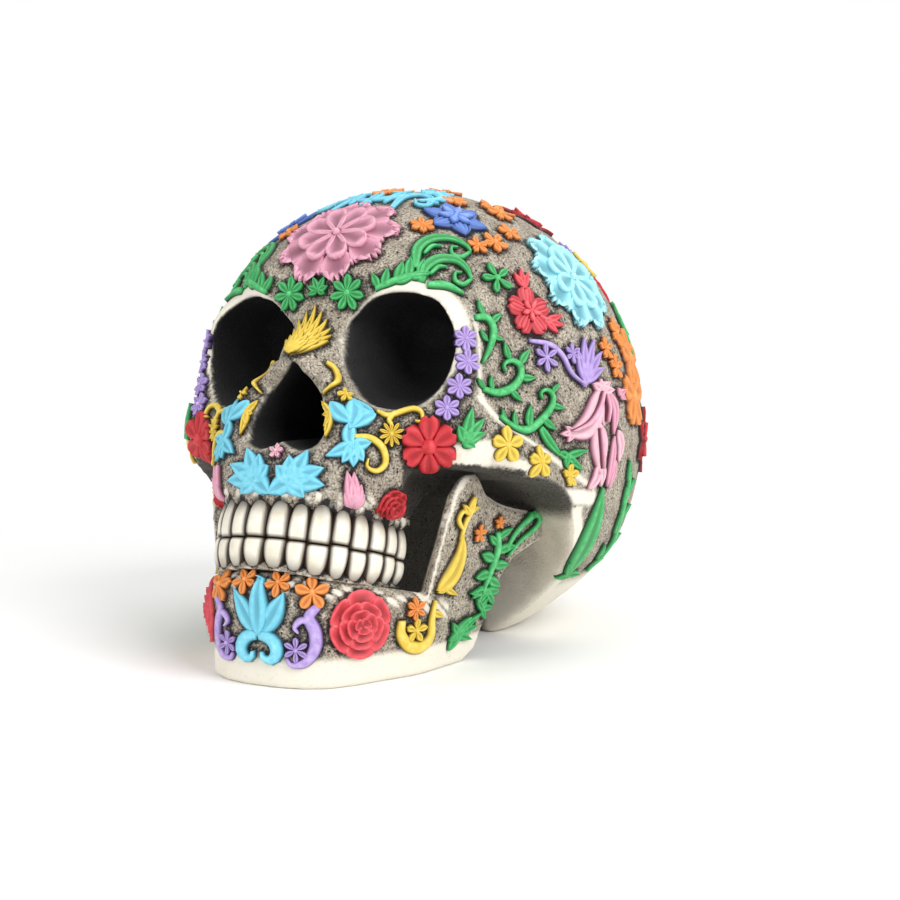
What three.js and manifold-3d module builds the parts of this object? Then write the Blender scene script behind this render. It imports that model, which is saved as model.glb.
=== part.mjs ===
// A decorated resin skull: a cast braincase with its face, a lower jaw, two rows of teeth, and
// raised painted ornaments seated on them. Millimetres, +Z up, the face looks along -Y, the
// skull's own left is +X, and the flat base lies at z = 0.
import * as THREE from "three";
import { mergeVertices } from "three/addons/utils/BufferGeometryUtils.js";
import Module from "manifold-3d";

const wasm = await Module();
wasm.setup();

// Braincase: an egg that leans back with the head, drawn in towards a flat base.
const BRAINCASE_WIDTH = 144;
const BRAINCASE_LENGTH = 176;
const BRAINCASE_DEPTH = 159;
const BRAINCASE_Y = 9;
const BRAINCASE_Z = 69;
const HEAD_PITCH = 21;
const TEMPLE_HOLLOW = 3;
const TEMPLE_SPREAD = 24;
const BASE_WIDTH = 62;
const BASE_LENGTH = 92;
const BASE_Y = 22;
const BASE_FLARE = 2.1;

// Face: a shallow curved front on the egg, with brow, nose bridge, upper jaw and cheek bones melted on.
const FACE_FRONT_Y = -64;
const FACE_CURVE_RADIUS = 220;
const FACE_LEAN = 0.16;
const FACE_SOFTNESS = 10;
const BROW_HALF_WIDTH = 20;
const BROW_Z = 112;
const BROW_SETBACK = 10;
const BROW_RADIUS = 6;
const BRIDGE_SETBACK = 7.5;
const BRIDGE_RADIUS = 6;
const NOSE_TIP_REACH = 8;
const NOSE_TIP_RADIUS = 7.5;
const NOSE_WALL_RADIUS = 8;
const CHEEK_X = 40;
const CHEEK_Z = 69;
const CHEEK_SETBACK = 7;
const CHEEK_RADIUS = 9;
const RIM_RADIUS = 5;

// Eye sockets and nose opening.
const ORBIT_X = 26;
const ORBIT_Z = 94;
const ORBIT_WIDTH = 32.5;
const ORBIT_HEIGHT = 31.5;
const ORBIT_DEPTH = 34;
const ORBIT_DROOP = 12;
const ORBIT_SPLAY = 6;
const ORBIT_LIFT = 9;
const ORBIT_CORNER = 2.3;
const NASAL_APEX_Z = 91;
const NASAL_BASE_Z = 66;
const NASAL_HALF_WIDTH = 12.5;
const NASAL_DEPTH = 22;

// Cheek arch, the hollow under the skull, and the pocket behind the cheek bone.
const ARCH_RISE = 15;
const ARCH_THICKNESS = 9;
const ARCH_PROUD = 3.5;
const HOLLOW_Y = -22;
const HOLLOW_Z = 8;
const HOLLOW_HALF_LENGTH = 34;
const HOLLOW_HALF_RISE = 48;
const HOLLOW_YAW = 20;
const POCKET_X = 45;
const POCKET_Y = -57.5;
const POCKET_TOP = 60;
const POCKET_RADIUS = 18;
const POCKET_FALL = 0.15;

// Teeth: two rows on one curve, in a bite plane that tips up towards the front.
const BITE_TILT = 15;
const BITE_FRONT_Z = 42;
const BITE_GAP = 0.5;
const DENTAL_FRONT_Y = -95;
const DENTAL_HALF_WIDTH = 29;
const DENTAL_LENGTH = 35;
const DENTAL_CORNER = 2.5;
const UPPER_CROWN = 11.5;
const LOWER_CROWN = 8.5;
const TOOTH_BULGE = 2.2;
const ROW_THICKNESS = 7;
const CROWN_GAP = 0.25;
const ROW_OVERRUN = 9;
const TOOTH_WIDTHS = [6.4, 5.6, 6.2, 5.8, 5.8, 6.6, 6.4, 6];

// Upper jaw, behind the upper row.
const MAXILLA_SETBACK = 33;
const MAXILLA_Z = 52;
const MAXILLA_MARGIN = 1;
const MAXILLA_REACH = 28;
const MAXILLA_RISE = 33;

// Lower jaw.
const CHIN_SETBACK = 5;
const JAW_THICKNESS = 12;
const BRANCH_THICKNESS = 8;
const BRANCH_CREST = 5;
const BRANCH_FRONT_Y = -59.5;
const BRANCH_LEAN = 0.16;
const CORONOID_Y = -49;
const CORONOID_Z = 58;
const NOTCH_Y = -22;
const NOTCH_Z = 44;
const JAW_ANGLE_X = 34;
const JAW_ANGLE_Y = -34.5;
const CONDYLE_X = 38.5;
const CONDYLE_Y = -6;
const CONDYLE_Z = 45.5;
const CONDYLE_RISE = 7.5;

// Ornaments and the fit between neighbouring pieces.
const RELIEF = 2;
const SEAT_GAP = 0.3;
const ORNAMENT_LIFT = 0.45;
const ROOT_DEPTH = 1.5;
const DROP_LIMIT = 8;
const WIDE_BLOOM = 9.5;
const DISH_RADIUS = 28;

// How finely the forms are laid out.
const SKIN_POINTS = 11;
const SKIN_LEAN = 0.2;
const RING_POINTS = 20;
const ROW_POINTS = 16;

const radians = THREE.MathUtils.degToRad;
const lerp = THREE.MathUtils.lerp;
const vec = (x, y, z) => new THREE.Vector3(x, y, z);
const flat = (x, y) => new THREE.Vector2(x, y);
const SIDES = [1, -1];

// Solids: closed geometries joined and cut.

// The geometry with only positions, its shared vertices merged and its faces looking out.
function bare(geometry) {
  const plain = geometry.clone();
  plain.deleteAttribute("normal");
  plain.deleteAttribute("uv");
  const merged = mergeVertices(plain, 1e-4);
  if (enclosedVolume(merged) < 0) merged.setIndex(Array.from(merged.index.array).reverse());
  return merged;
}

function enclosedVolume(geometry) {
  const at = geometry.attributes.position;
  const corner = (i) => vec().fromBufferAttribute(at, geometry.index.getX(i));
  let sum = 0;
  for (let i = 0; i < geometry.index.count; i += 3) {
    sum += corner(i).dot(corner(i + 1).cross(corner(i + 2))) / 6;
  }
  return sum;
}

function toSolid(geometry) {
  const plain = bare(geometry);
  return new wasm.Manifold(
    new wasm.Mesh({
      numProp: 3,
      vertProperties: new Float32Array(plain.attributes.position.array),
      triVerts: new Uint32Array(plain.index.array),
    }),
  );
}

function toGeometry(solid) {
  const mesh = solid.getMesh();
  const geometry = new THREE.BufferGeometry();
  geometry.setAttribute("position", new THREE.BufferAttribute(mesh.vertProperties, mesh.numProp));
  geometry.setIndex(new THREE.BufferAttribute(mesh.triVerts, 1));
  geometry.computeVertexNormals();
  return geometry;
}

// A closed skin over rings of equal point counts, each end closed by a fan to its centre.
function loft(rings, startCentre, endCentre) {
  const count = rings[0].length;
  const middle = (ring) => ring.reduce((sum, p) => sum.add(p), vec(0, 0, 0)).divideScalar(count);
  const points = rings.flat();
  const start = points.length;
  const end = start + 1;
  const last = (rings.length - 1) * count;
  points.push(startCentre ?? middle(rings[0]), endCentre ?? middle(rings.at(-1)));
  const faces = [];
  for (let i = 0; i < count; i++) {
    const j = (i + 1) % count;
    for (let r = 0; r < last; r += count) {
      faces.push(r + i, r + j, r + count + j);
      faces.push(r + i, r + count + j, r + count + i);
    }
    faces.push(start, j, i, end, last + i, last + j);
  }
  const geometry = new THREE.BufferGeometry().setFromPoints(points);
  geometry.setIndex(faces);
  return bare(geometry);
}

// Soft forms: each is a field, negative inside, and neighbouring forms melt into each other.

function eggForm(centre, radii, pitch) {
  const place = new THREE.Matrix4().makeRotationX(-radians(pitch)).setPosition(centre).invert();
  return (p) => {
    const q = p.clone().applyMatrix4(place).divide(radii);
    const level = q.length();
    return (level * (level - 1)) / Math.max(q.divide(radii).length(), 1e-9);
  };
}

function limbForm(start, end, startRadius, endRadius) {
  const along = end.clone().sub(start);
  return (p) => {
    const q = p.clone().sub(start);
    const t = THREE.MathUtils.clamp(q.dot(along) / along.lengthSq(), 0, 1);
    return q.addScaledVector(along, -t).length() - lerp(startRadius, endRadius, t);
  };
}

function melt(a, b) {
  const share = Math.max(FACE_SOFTNESS - Math.abs(a - b), 0) / FACE_SOFTNESS;
  return Math.min(a, b) - (share * share * FACE_SOFTNESS) / 4;
}

const trim = (a, b) => -melt(-a, -b);

// The outermost point on a ray where a falling measure passes zero.
function outermost(level, reach) {
  const step = reach / 60;
  let inner = reach;
  while (inner > step && level(inner) > 0) inner -= step;
  let outer = inner + step;
  for (let n = 0; n < 24; n++) {
    const middle = (inner + outer) / 2;
    if (level(middle) > 0) outer = middle;
    else inner = middle;
  }
  return inner;
}

// The skin of a field: rays from a centre, closer together towards the face.
function skin(field, centre) {
  const ball = bare(new THREE.IcosahedronGeometry(1, SKIN_POINTS));
  const at = ball.attributes.position;
  for (let i = 0; i < at.count; i++) {
    const direction = vec().fromBufferAttribute(at, i).add(vec(0, -SKIN_LEAN, 0)).normalize();
    const point = (r) => centre.clone().addScaledVector(direction, r);
    at.setXYZ(i, ...point(outermost((r) => field(point(r)), BRAINCASE_LENGTH)));
  }
  return ball;
}

// Braincase and face.

const egg = eggForm(
  vec(0, BRAINCASE_Y, BRAINCASE_Z),
  vec(BRAINCASE_WIDTH / 2, BRAINCASE_LENGTH / 2, BRAINCASE_DEPTH / 2),
  HEAD_PITCH,
);

// The front of the face at a place across and up.
function faceY(x, z) {
  return FACE_FRONT_Y + (x * x) / (2 * FACE_CURVE_RADIUS) + FACE_LEAN * (z - ORBIT_Z);
}

// The lower rear drawn in towards the base, as a cone that opens upwards.
function baseTaper(p) {
  const around = Math.hypot((p.x * BASE_LENGTH) / BASE_WIDTH, p.y - BASE_Y);
  return (around - BASE_LENGTH / 2 - BASE_FLARE * p.z) / Math.hypot(1, BASE_FLARE);
}

const onFace = (x, z, setback) => vec(x, faceY(x, z) + setback, z);
const temple = vec(
  BRAINCASE_WIDTH / 2 - TEMPLE_SPREAD / 2,
  BRAINCASE_Y - 2 * TEMPLE_SPREAD,
  ORBIT_Z - BROW_RADIUS,
);
const bridgeTop = onFace(0, BROW_Z - 3, 2 * BRIDGE_SETBACK);
const bridgeDip = onFace(0, NASAL_APEX_Z + BRIDGE_RADIUS, BRIDGE_SETBACK);
const noseTip = onFace(0, NASAL_APEX_Z - 1, -NOSE_TIP_REACH);
const maxillaY = DENTAL_FRONT_Y + MAXILLA_SETBACK;
const maxillaHalfWidth = DENTAL_HALF_WIDTH + MAXILLA_MARGIN;

function sideForms(side) {
  const cheek = onFace(side * CHEEK_X, CHEEK_Z, CHEEK_SETBACK);
  const underEye = onFace(side * (ORBIT_X - CHEEK_SETBACK), CHEEK_Z + 4, 0);
  const wallTop = onFace(side * (NASAL_HALF_WIDTH - 1.5), NASAL_APEX_Z - 4, -2);
  const wallFoot = onFace(side * (NASAL_HALF_WIDTH + 4.5), NASAL_BASE_Z - 6, -5);
  const rimFoot = cheek.clone().add(vec(side * 2, RIM_RADIUS, 0));
  const rimTop = onFace(side * (ORBIT_X + 12.5), ORBIT_Z + 8, RIM_RADIUS);
  return [
    limbForm(wallTop, wallFoot, NOSE_WALL_RADIUS - 1, NOSE_WALL_RADIUS + 1),
    limbForm(underEye, cheek, CHEEK_RADIUS, CHEEK_RADIUS),
    limbForm(rimFoot, rimTop, RIM_RADIUS + 1, RIM_RADIUS - 1),
  ];
}

const faceForms = [
  limbForm(
    onFace(-BROW_HALF_WIDTH, BROW_Z, BROW_SETBACK - 4),
    onFace(BROW_HALF_WIDTH, BROW_Z, BROW_SETBACK - 4),
    BROW_RADIUS,
    BROW_RADIUS,
  ),
  limbForm(bridgeTop, bridgeDip, BRIDGE_RADIUS, BRIDGE_RADIUS),
  limbForm(bridgeDip, noseTip, BRIDGE_RADIUS, NOSE_TIP_RADIUS),
  eggForm(vec(0, maxillaY, MAXILLA_Z), vec(maxillaHalfWidth, MAXILLA_REACH, MAXILLA_RISE), HEAD_PITCH),
  ...SIDES.flatMap(sideForms),
];

function skullField(p) {
  const away = vec(Math.abs(p.x), p.y, p.z).distanceTo(temple) / TEMPLE_SPREAD;
  let level = egg(p) + TEMPLE_HOLLOW * Math.exp(-away * away);
  level = trim(level, faceY(p.x, p.z) - p.y);
  level = trim(level, baseTaper(p));
  return faceForms.reduce((sum, form) => melt(sum, form(p)), level);
}

// An eye socket: a rounded square mouth that droops outwards, deep and narrowing.
function orbitCutter(side) {
  const steps = [
    { depth: -ORBIT_DEPTH / 2, share: 1 },
    { depth: 0, share: 0.98 },
    { depth: ORBIT_DEPTH * 0.3, share: 1 },
    { depth: ORBIT_DEPTH * 0.75, share: 0.72 },
    { depth: ORBIT_DEPTH, share: 0.3 },
  ];
  const place = new THREE.Matrix4()
    .makeRotationFromEuler(new THREE.Euler(radians(ORBIT_LIFT), 0, radians(side * ORBIT_SPLAY), "ZXY"))
    .setPosition(onFace(side * ORBIT_X, ORBIT_Z, 0));
  const square = (c) => Math.sign(c) * Math.abs(c) ** (2 / ORBIT_CORNER);
  const rings = steps.map(({ depth, share }) =>
    Array.from({ length: RING_POINTS }, (_, i) => {
      const a = (i / RING_POINTS) * 2 * Math.PI;
      const mouth = flat((square(Math.cos(a)) * ORBIT_WIDTH) / 2, (square(Math.sin(a)) * ORBIT_HEIGHT) / 2);
      mouth.multiplyScalar(share).rotateAround(flat(0, 0), -side * radians(ORBIT_DROOP));
      return vec(mouth.x, depth, mouth.y).applyMatrix4(place);
    }),
  );
  return toSolid(loft(rings));
}

// The nose opening: a pear with two lobes below, straight in from the front.
function nasalCutter() {
  const rise = NASAL_APEX_Z - NASAL_BASE_Z;
  const w = NASAL_HALF_WIDTH;
  const shape = new THREE.Shape();
  shape.moveTo(0, rise);
  shape.bezierCurveTo(w * 0.35, rise * 0.98, w * 0.6, rise * 0.65, w, rise * 0.25);
  shape.bezierCurveTo(w, -rise * 0.05, w * 0.4, -rise * 0.06, 0, rise * 0.1);
  shape.bezierCurveTo(-w * 0.4, -rise * 0.06, -w, -rise * 0.05, -w, rise * 0.25);
  shape.bezierCurveTo(-w * 0.6, rise * 0.65, -w * 0.35, rise * 0.98, 0, rise);
  const depth = 3 * NASAL_DEPTH;
  const block = new THREE.ExtrudeGeometry(shape, { depth, bevelEnabled: false, curveSegments: 5 });
  block.rotateX(Math.PI / 2);
  block.translate(0, FACE_FRONT_Y + NASAL_DEPTH, NASAL_BASE_Z);
  return toSolid(block);
}

// The cheek arch: a band along the side of the egg, from the cheek bone to a thin root above the jaw joint.
function archSolid(side) {
  const stations = 10;
  const corners = 10;
  const front = onFace(CHEEK_X, CHEEK_Z, ARCH_THICKNESS / 2);
  const rear = vec(0, CONDYLE_Y + 4, CONDYLE_Z + 3);
  const eggSide = (y, z) => outermost((x) => egg(vec(x, y, z)), BRAINCASE_WIDTH);
  const middle = (t) => {
    const y = lerp(front.y, rear.y, t);
    const z = lerp(front.z, rear.z, THREE.MathUtils.smoothstep(t, 0.05, 0.75));
    const proud = ARCH_PROUD * (1 - 3 * (t - 0.3) ** 2);
    return vec(eggSide(y, z) + proud - ARCH_THICKNESS / 2, y, z);
  };
  const rings = Array.from({ length: stations + 1 }, (_, s) => {
    const t = s / stations;
    const centre = middle(t);
    const along = middle(t + 0.5 / stations).sub(middle(t - 0.5 / stations)).normalize();
    const out = vec(along.y, -along.x, 0).normalize();
    const up = along.clone().cross(out).normalize();
    const rise = ARCH_RISE * lerp(1, 0.4, Math.min(1, t / 0.75));
    return Array.from({ length: corners }, (_, i) => {
      const a = (i / corners) * 2 * Math.PI;
      const p = centre.clone().addScaledVector(out, (Math.cos(a) * ARCH_THICKNESS) / 2);
      p.addScaledVector(up, (Math.sin(a) * rise) / 2);
      return vec(side * p.x, p.y, p.z);
    });
  });
  return toSolid(loft(rings));
}

// Half of the hollow under the skull, swung forward at its outer end, that leaves the rear base standing.
function hollowCutter(side) {
  const drum = new THREE.CylinderGeometry(1, 1, BRAINCASE_WIDTH, RING_POINTS + 8);
  const past = HOLLOW_HALF_LENGTH * Math.sin(radians(HOLLOW_YAW));
  drum.rotateZ(Math.PI / 2);
  drum.scale(1, HOLLOW_HALF_LENGTH, HOLLOW_HALF_RISE);
  drum.translate(side * (BRAINCASE_WIDTH / 2 - past), 0, 0);
  drum.rotateZ(-side * radians(HOLLOW_YAW));
  drum.translate(0, HOLLOW_Y, HOLLOW_Z);
  return toSolid(drum);
}

// The pocket under the cheek bone, behind the last teeth: upright, with a rounded top that falls to the rear.
function pocketCutter(side) {
  const steps = [
    { drop: POCKET_TOP, share: 1 },
    { drop: POCKET_RADIUS * 0.4, share: 1 },
    { drop: POCKET_RADIUS * 0.12, share: 0.9 },
    { drop: 0, share: 0.65 },
  ];
  const rings = steps.map(({ drop, share }) =>
    Array.from({ length: RING_POINTS }, (_, i) => {
      const a = (i / RING_POINTS) * 2 * Math.PI;
      const place = flat(Math.cos(a), Math.sin(a)).multiplyScalar(POCKET_RADIUS * share);
      return vec(side * POCKET_X + place.x, POCKET_Y + place.y, POCKET_TOP - drop - POCKET_FALL * place.y);
    }),
  );
  return toSolid(loft(rings));
}

// Teeth, in a frame whose origin is the front of the bite and whose floor lies on it.
const biteFrame = new THREE.Matrix4()
  .makeRotationX(-radians(BITE_TILT))
  .setPosition(0, DENTAL_FRONT_Y, BITE_FRONT_Z);

function dentalPoint(angle, inset) {
  const square = (c) => Math.sign(c) * Math.abs(c) ** (2 / DENTAL_CORNER);
  return flat(
    (DENTAL_HALF_WIDTH - inset) * square(Math.sin(angle)),
    DENTAL_LENGTH - (DENTAL_LENGTH - inset) * square(Math.cos(angle)),
  );
}

// A wall that follows the dental curve between two insets and two heights above the bite.
function dentalWall(outerInset, innerInset, low, high, overrun = 0) {
  const end = radians(90 + overrun);
  const rings = Array.from({ length: ROW_POINTS + 1 }, (_, s) => {
    const angle = lerp(-end, end, s / ROW_POINTS);
    const outer = dentalPoint(angle, outerInset);
    const inner = dentalPoint(angle, innerInset);
    return [vec(...outer, low), vec(...inner, low), vec(...inner, high), vec(...outer, high)];
  });
  return toSolid(loft(rings).applyMatrix4(biteFrame));
}

// The dental angle at which each tooth of one side stands, and its width along the curve.
function toothPlaces() {
  const fine = 400;
  const angles = Array.from({ length: fine + 1 }, (_, i) => (i / fine) * (Math.PI / 2));
  const reach = [0];
  for (let i = 1; i <= fine; i++) {
    reach.push(reach[i - 1] + dentalPoint(angles[i], 0).distanceTo(dentalPoint(angles[i - 1], 0)));
  }
  const scale = reach[fine] / TOOTH_WIDTHS.reduce((sum, w) => sum + w, 0);
  let travelled = 0;
  return TOOTH_WIDTHS.map((w) => {
    const width = w * scale;
    const middle = travelled + width / 2;
    travelled += width;
    return { angle: angles[reach.findIndex((r) => r >= middle)], width };
  });
}

// One crown: a D in section whose bow faces out, its root end drawn in, its back sunk in the bar.
function crownGeometry(width, height) {
  const levels = [
    { up: 0, wide: 0.94, bow: 0.85 },
    { up: 0.55, wide: 1, bow: 1 },
    { up: 1, wide: 0.5, bow: 0.55 },
  ];
  const rings = levels.map(({ up, wide, bow }) => {
    const half = (width / 2) * wide;
    const front = -TOOTH_BULGE * bow;
    return [
      vec(-half, TOOTH_BULGE / 2, up * height),
      vec(-half, front * 0.25, up * height),
      vec(-half * 0.5, front, up * height),
      vec(half * 0.5, front, up * height),
      vec(half, front * 0.25, up * height),
      vec(half, TOOTH_BULGE / 2, up * height),
    ];
  });
  return loft(rings);
}

// A row of crowns on a bar, standing up from the bite or hanging down to it.
function toothRow(height, upward) {
  const ANGLE_STEP = 0.01;
  const low = BITE_GAP / 2;
  const [floor, roof] = [upward * low, upward * height].sort((a, b) => a - b);
  let row = dentalWall(TOOTH_BULGE, TOOTH_BULGE + ROW_THICKNESS, floor, roof);
  for (const { angle, width } of toothPlaces())
    for (const side of SIDES) {
      const seat = dentalPoint(side * angle, TOOTH_BULGE);
      const ahead = dentalPoint(side * angle + ANGLE_STEP, TOOTH_BULGE).sub(seat);
      const crown = crownGeometry(width - CROWN_GAP, height - low - SEAT_GAP);
      crown.scale(1, 1, upward);
      crown.rotateZ(Math.atan2(ahead.y, ahead.x));
      crown.translate(seat.x, seat.y, upward * low);
      row = row.add(toSolid(crown.applyMatrix4(biteFrame)));
    }
  return row;
}

// Lower jaw: a wall lofted along half the jaw's plan and mirrored.
const chinY = DENTAL_FRONT_Y + CHIN_SETBACK;
const rootDrop = LOWER_CROWN + SEAT_GAP;
const rootLine = (y) => BITE_FRONT_Z - (y - DENTAL_FRONT_Y) * Math.tan(radians(BITE_TILT)) - rootDrop;
const bodyStation = (share, y, crest) => ({
  x: DENTAL_HALF_WIDTH * share,
  y,
  low: 0,
  high: rootLine(y),
  thick: JAW_THICKNESS,
  crest,
});
const branchX = (y) => {
  const front = DENTAL_HALF_WIDTH + 1.2;
  if (y < JAW_ANGLE_Y) return lerp(front, JAW_ANGLE_X, (y - BRANCH_FRONT_Y) / (JAW_ANGLE_Y - BRANCH_FRONT_Y));
  return lerp(JAW_ANGLE_X, CONDYLE_X, (y - JAW_ANGLE_Y) / (CONDYLE_Y - JAW_ANGLE_Y));
};
const branchStation = (y, low, high, crest = BRANCH_CREST) => ({
  x: branchX(y),
  y,
  low,
  high,
  thick: BRANCH_THICKNESS,
  crest,
});
const bodyEnd = DENTAL_FRONT_Y + DENTAL_LENGTH - 1.5;
const jawStations = [
  bodyStation(0, chinY, 10),
  bodyStation(0.19, chinY + 0.2, 10),
  bodyStation(0.36, chinY + 1.3, 10),
  bodyStation(0.52, chinY + 4, 10),
  bodyStation(0.655, chinY + 10, 10),
  bodyStation(0.76, chinY + 17, 9),
  bodyStation(0.88, chinY + 24, 9),
  { ...bodyStation(0.99, bodyEnd, 6), thick: JAW_THICKNESS - 2 },
  branchStation(BRANCH_FRONT_Y, 0, lerp(rootLine(bodyEnd), CORONOID_Z, 0.56), 3.5),
  branchStation(BRANCH_FRONT_Y + 2.5, 0, lerp(rootLine(bodyEnd), CORONOID_Z, 0.86), 4),
  branchStation(CORONOID_Y - 3, 0, CORONOID_Z),
  branchStation(CORONOID_Y + 3, 0, CORONOID_Z),
  branchStation(CORONOID_Y + 9, 0, lerp(CORONOID_Z, NOTCH_Z, 0.45)),
  branchStation(JAW_ANGLE_Y, 2, lerp(CORONOID_Z, NOTCH_Z, 0.7)),
  branchStation(JAW_ANGLE_Y + 5, NOTCH_Z / 3, lerp(CORONOID_Z, NOTCH_Z, 0.85)),
  branchStation(NOTCH_Y, NOTCH_Z - 15, NOTCH_Z),
  branchStation(CONDYLE_Y - 7, CONDYLE_Z - 11, NOTCH_Z),
  branchStation(CONDYLE_Y, CONDYLE_Z - CONDYLE_RISE, CONDYLE_Z, BRANCH_THICKNESS),
  branchStation(CONDYLE_Y + 3, CONDYLE_Z - CONDYLE_RISE + 2.5, CONDYLE_Z - 0.5, BRANCH_THICKNESS - 2),
];

function jawSolid(grow) {
  const half = jawStations.slice(1).reverse();
  const all = [...half.map((s) => ({ ...s, x: -s.x })), ...jawStations];
  const rings = all.map((s, i) => {
    const before = all[Math.max(i - 1, 0)];
    const after = all[Math.min(i + 1, all.length - 1)];
    const across = flat(after.y - before.y, before.x - after.x).normalize();
    const outer = s.thick / 2 + grow;
    const inner = outer - s.crest - 2 * grow;
    const [low, high] = [s.low - grow, s.high + grow];
    const waist = (low + high) / 2;
    const round = Math.min(s.crest * 0.4, (high - low) * 0.3);
    const foot = s.low > 0 ? round : 1;
    const lean = Math.sign(s.x) * BRANCH_LEAN * THREE.MathUtils.smoothstep(s.y, chinY, bodyEnd);
    const section = [
      [outer - foot, low],
      [outer, low + foot],
      [outer, waist],
      [outer, high - round],
      [outer - round, high],
      [inner + round, high],
      [inner, high - round],
      [(inner - outer) / 2, waist],
      [-outer, low + foot],
      [-outer + foot, low],
    ];
    return section.map(([o, z]) => vec(s.x + across.x * o + lean * z, s.y + across.y * o, z));
  });
  return toSolid(loft(rings));
}

// Cast bodies.

const skinCentre = vec(0, (BRAINCASE_Y + FACE_FRONT_Y) * 0.32, ORBIT_Z - NASAL_HALF_WIDTH - 1.5);
const rowInset = TOOTH_BULGE + ROW_THICKNESS + SEAT_GAP;
const underBite = new THREE.BoxGeometry(2 * BRAINCASE_WIDTH, 2 * DENTAL_LENGTH, BRAINCASE_DEPTH);
underBite.translate(0, DENTAL_LENGTH / 2, -BRAINCASE_DEPTH / 2 + BITE_GAP / 2);
underBite.applyMatrix4(biteFrame);
const underFloor = new THREE.BoxGeometry(2 * BRAINCASE_WIDTH, 2 * BRAINCASE_LENGTH, BRAINCASE_DEPTH);
underFloor.translate(0, 0, -BRAINCASE_DEPTH / 2);

function craniumSolid() {
  let body = toSolid(skin(skullField, skinCentre));
  for (const side of SIDES) body = body.add(archSolid(side));
  for (const side of SIDES)
    for (const cutter of [hollowCutter, pocketCutter, orbitCutter]) body = body.subtract(cutter(side));
  body = body.subtract(nasalCutter());
  const roof = UPPER_CROWN + SEAT_GAP;
  body = body.subtract(dentalWall(-DENTAL_HALF_WIDTH / 2, rowInset, -BITE_GAP, roof, ROW_OVERRUN));
  body = body.subtract(toSolid(underBite));
  body = body.subtract(toSolid(underFloor));
  return body.subtract(jawSolid(SEAT_GAP));
}

const cranium = craniumSolid();
const jaw = jawSolid(0).subtract(dentalWall(-1, rowInset, -LOWER_CROWN - SEAT_GAP, SEAT_GAP, ROW_OVERRUN));
const upperRow = toothRow(UPPER_CROWN, 1);
const lowerRow = toothRow(LOWER_CROWN, -1);

// Ornaments: outlines drawn flat, raised, and laid on the cast surface under them.

const ray = new THREE.Raycaster();

function castSurface(solid, centre, normalAt) {
  const body = new THREE.Mesh(toGeometry(solid), new THREE.MeshBasicMaterial({ side: THREE.DoubleSide }));
  body.updateMatrixWorld(true);
  const first = (from, direction) => {
    ray.set(from, direction);
    return ray.intersectObject(body)[0];
  };
  return { first, centre, normalAt };
}

function fieldNormal(p) {
  const step = 1;
  const slope = (d) => skullField(p.clone().add(d)) - skullField(p.clone().sub(d));
  return vec(slope(vec(step, 0, 0)), slope(vec(0, step, 0)), slope(vec(0, 0, step))).normalize();
}

const jawCentre = vec(0, (chinY + CONDYLE_Y) / 2 - 3.5, rootLine(chinY) * 0.6);
const onCranium = castSurface(cranium, skinCentre, fieldNormal);
const onJaw = castSurface(jaw, jawCentre, undefined);

// A frame on the surface, at a bearing from the front towards the left and a rise, seen from its centre.
function seatFrame(surface, bearing, rise) {
  const direction = vec(
    Math.sin(radians(bearing)) * Math.cos(radians(rise)),
    -Math.cos(radians(bearing)) * Math.cos(radians(rise)),
    Math.sin(radians(rise)),
  );
  const far = surface.centre.clone().addScaledVector(direction, BRAINCASE_LENGTH);
  const hit = surface.first(far, direction.clone().negate());
  const out = surface.normalAt ? surface.normalAt(hit.point) : hit.face.normal.clone();
  const across = vec(0, 0, 1).cross(out).normalize();
  return { origin: hit.point, out, across, up: out.clone().cross(across) };
}

// Lays flat points with heights on the surface, clear of it by the ornament lift.
function lay(surface, frame, turn, spot) {
  const [u, v, height] = spot;
  const spun = flat(u, v).rotateAround(flat(0, 0), radians(turn));
  const above = frame.origin.clone().addScaledVector(frame.across, spun.x).addScaledVector(frame.up, spun.y);
  above.addScaledVector(frame.out, DROP_LIMIT);
  const hit = surface.first(above, frame.out.clone().negate());
  const drop = Math.min(hit?.distance ?? Infinity, 2 * DROP_LIMIT);
  const foot = above.addScaledVector(frame.out, -drop);
  const lift = surface.normalAt && drop < 2 * DROP_LIMIT ? surface.normalAt(foot) : frame.out;
  return foot.addScaledVector(lift, ORNAMENT_LIFT + height);
}

// A raised outline: a star of tips, each [angle, length], with notches between them.
function burst(tips, notch, blunt) {
  const outline = tips.flatMap(([angle, length], i) => {
    const [nextAngle, nextLength] = tips[(i + 1) % tips.length];
    const [lastAngle] = tips.at(i - 1);
    const ahead = (nextAngle - angle + 360) % 360 || 360;
    const behind = (angle - lastAngle + 360) % 360 || 360;
    const at = (a, r) => flat(Math.cos(radians(a)) * r, Math.sin(radians(a)) * r);
    const shoulder = length * 0.86;
    return [
      at(angle - (behind / 2) * blunt, shoulder),
      at(angle, length),
      at(angle + (ahead / 2) * blunt, shoulder),
      at(angle + ahead / 2, Math.min(length, nextLength) * notch),
    ];
  });
  return { outline };
}

// A flower of even petals.
const bloom = (petals, radius, notch, blunt = 0.55) =>
  burst(Array.from({ length: petals }, (_, i) => [90 + (360 * i) / petals, radius]), notch, blunt);

// A fan of petals that rises from a short foot.
function fan(count, spread, radius, notch, foot, blunt = 0.5) {
  const tips = Array.from({ length: count }, (_, i) => {
    const offset = count > 1 ? i / (count - 1) - 0.5 : 0;
    return [90 + spread * offset, radius * (1 - 0.35 * Math.abs(offset))];
  });
  return burst([...tips, [270, foot]], notch, blunt);
}

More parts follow.
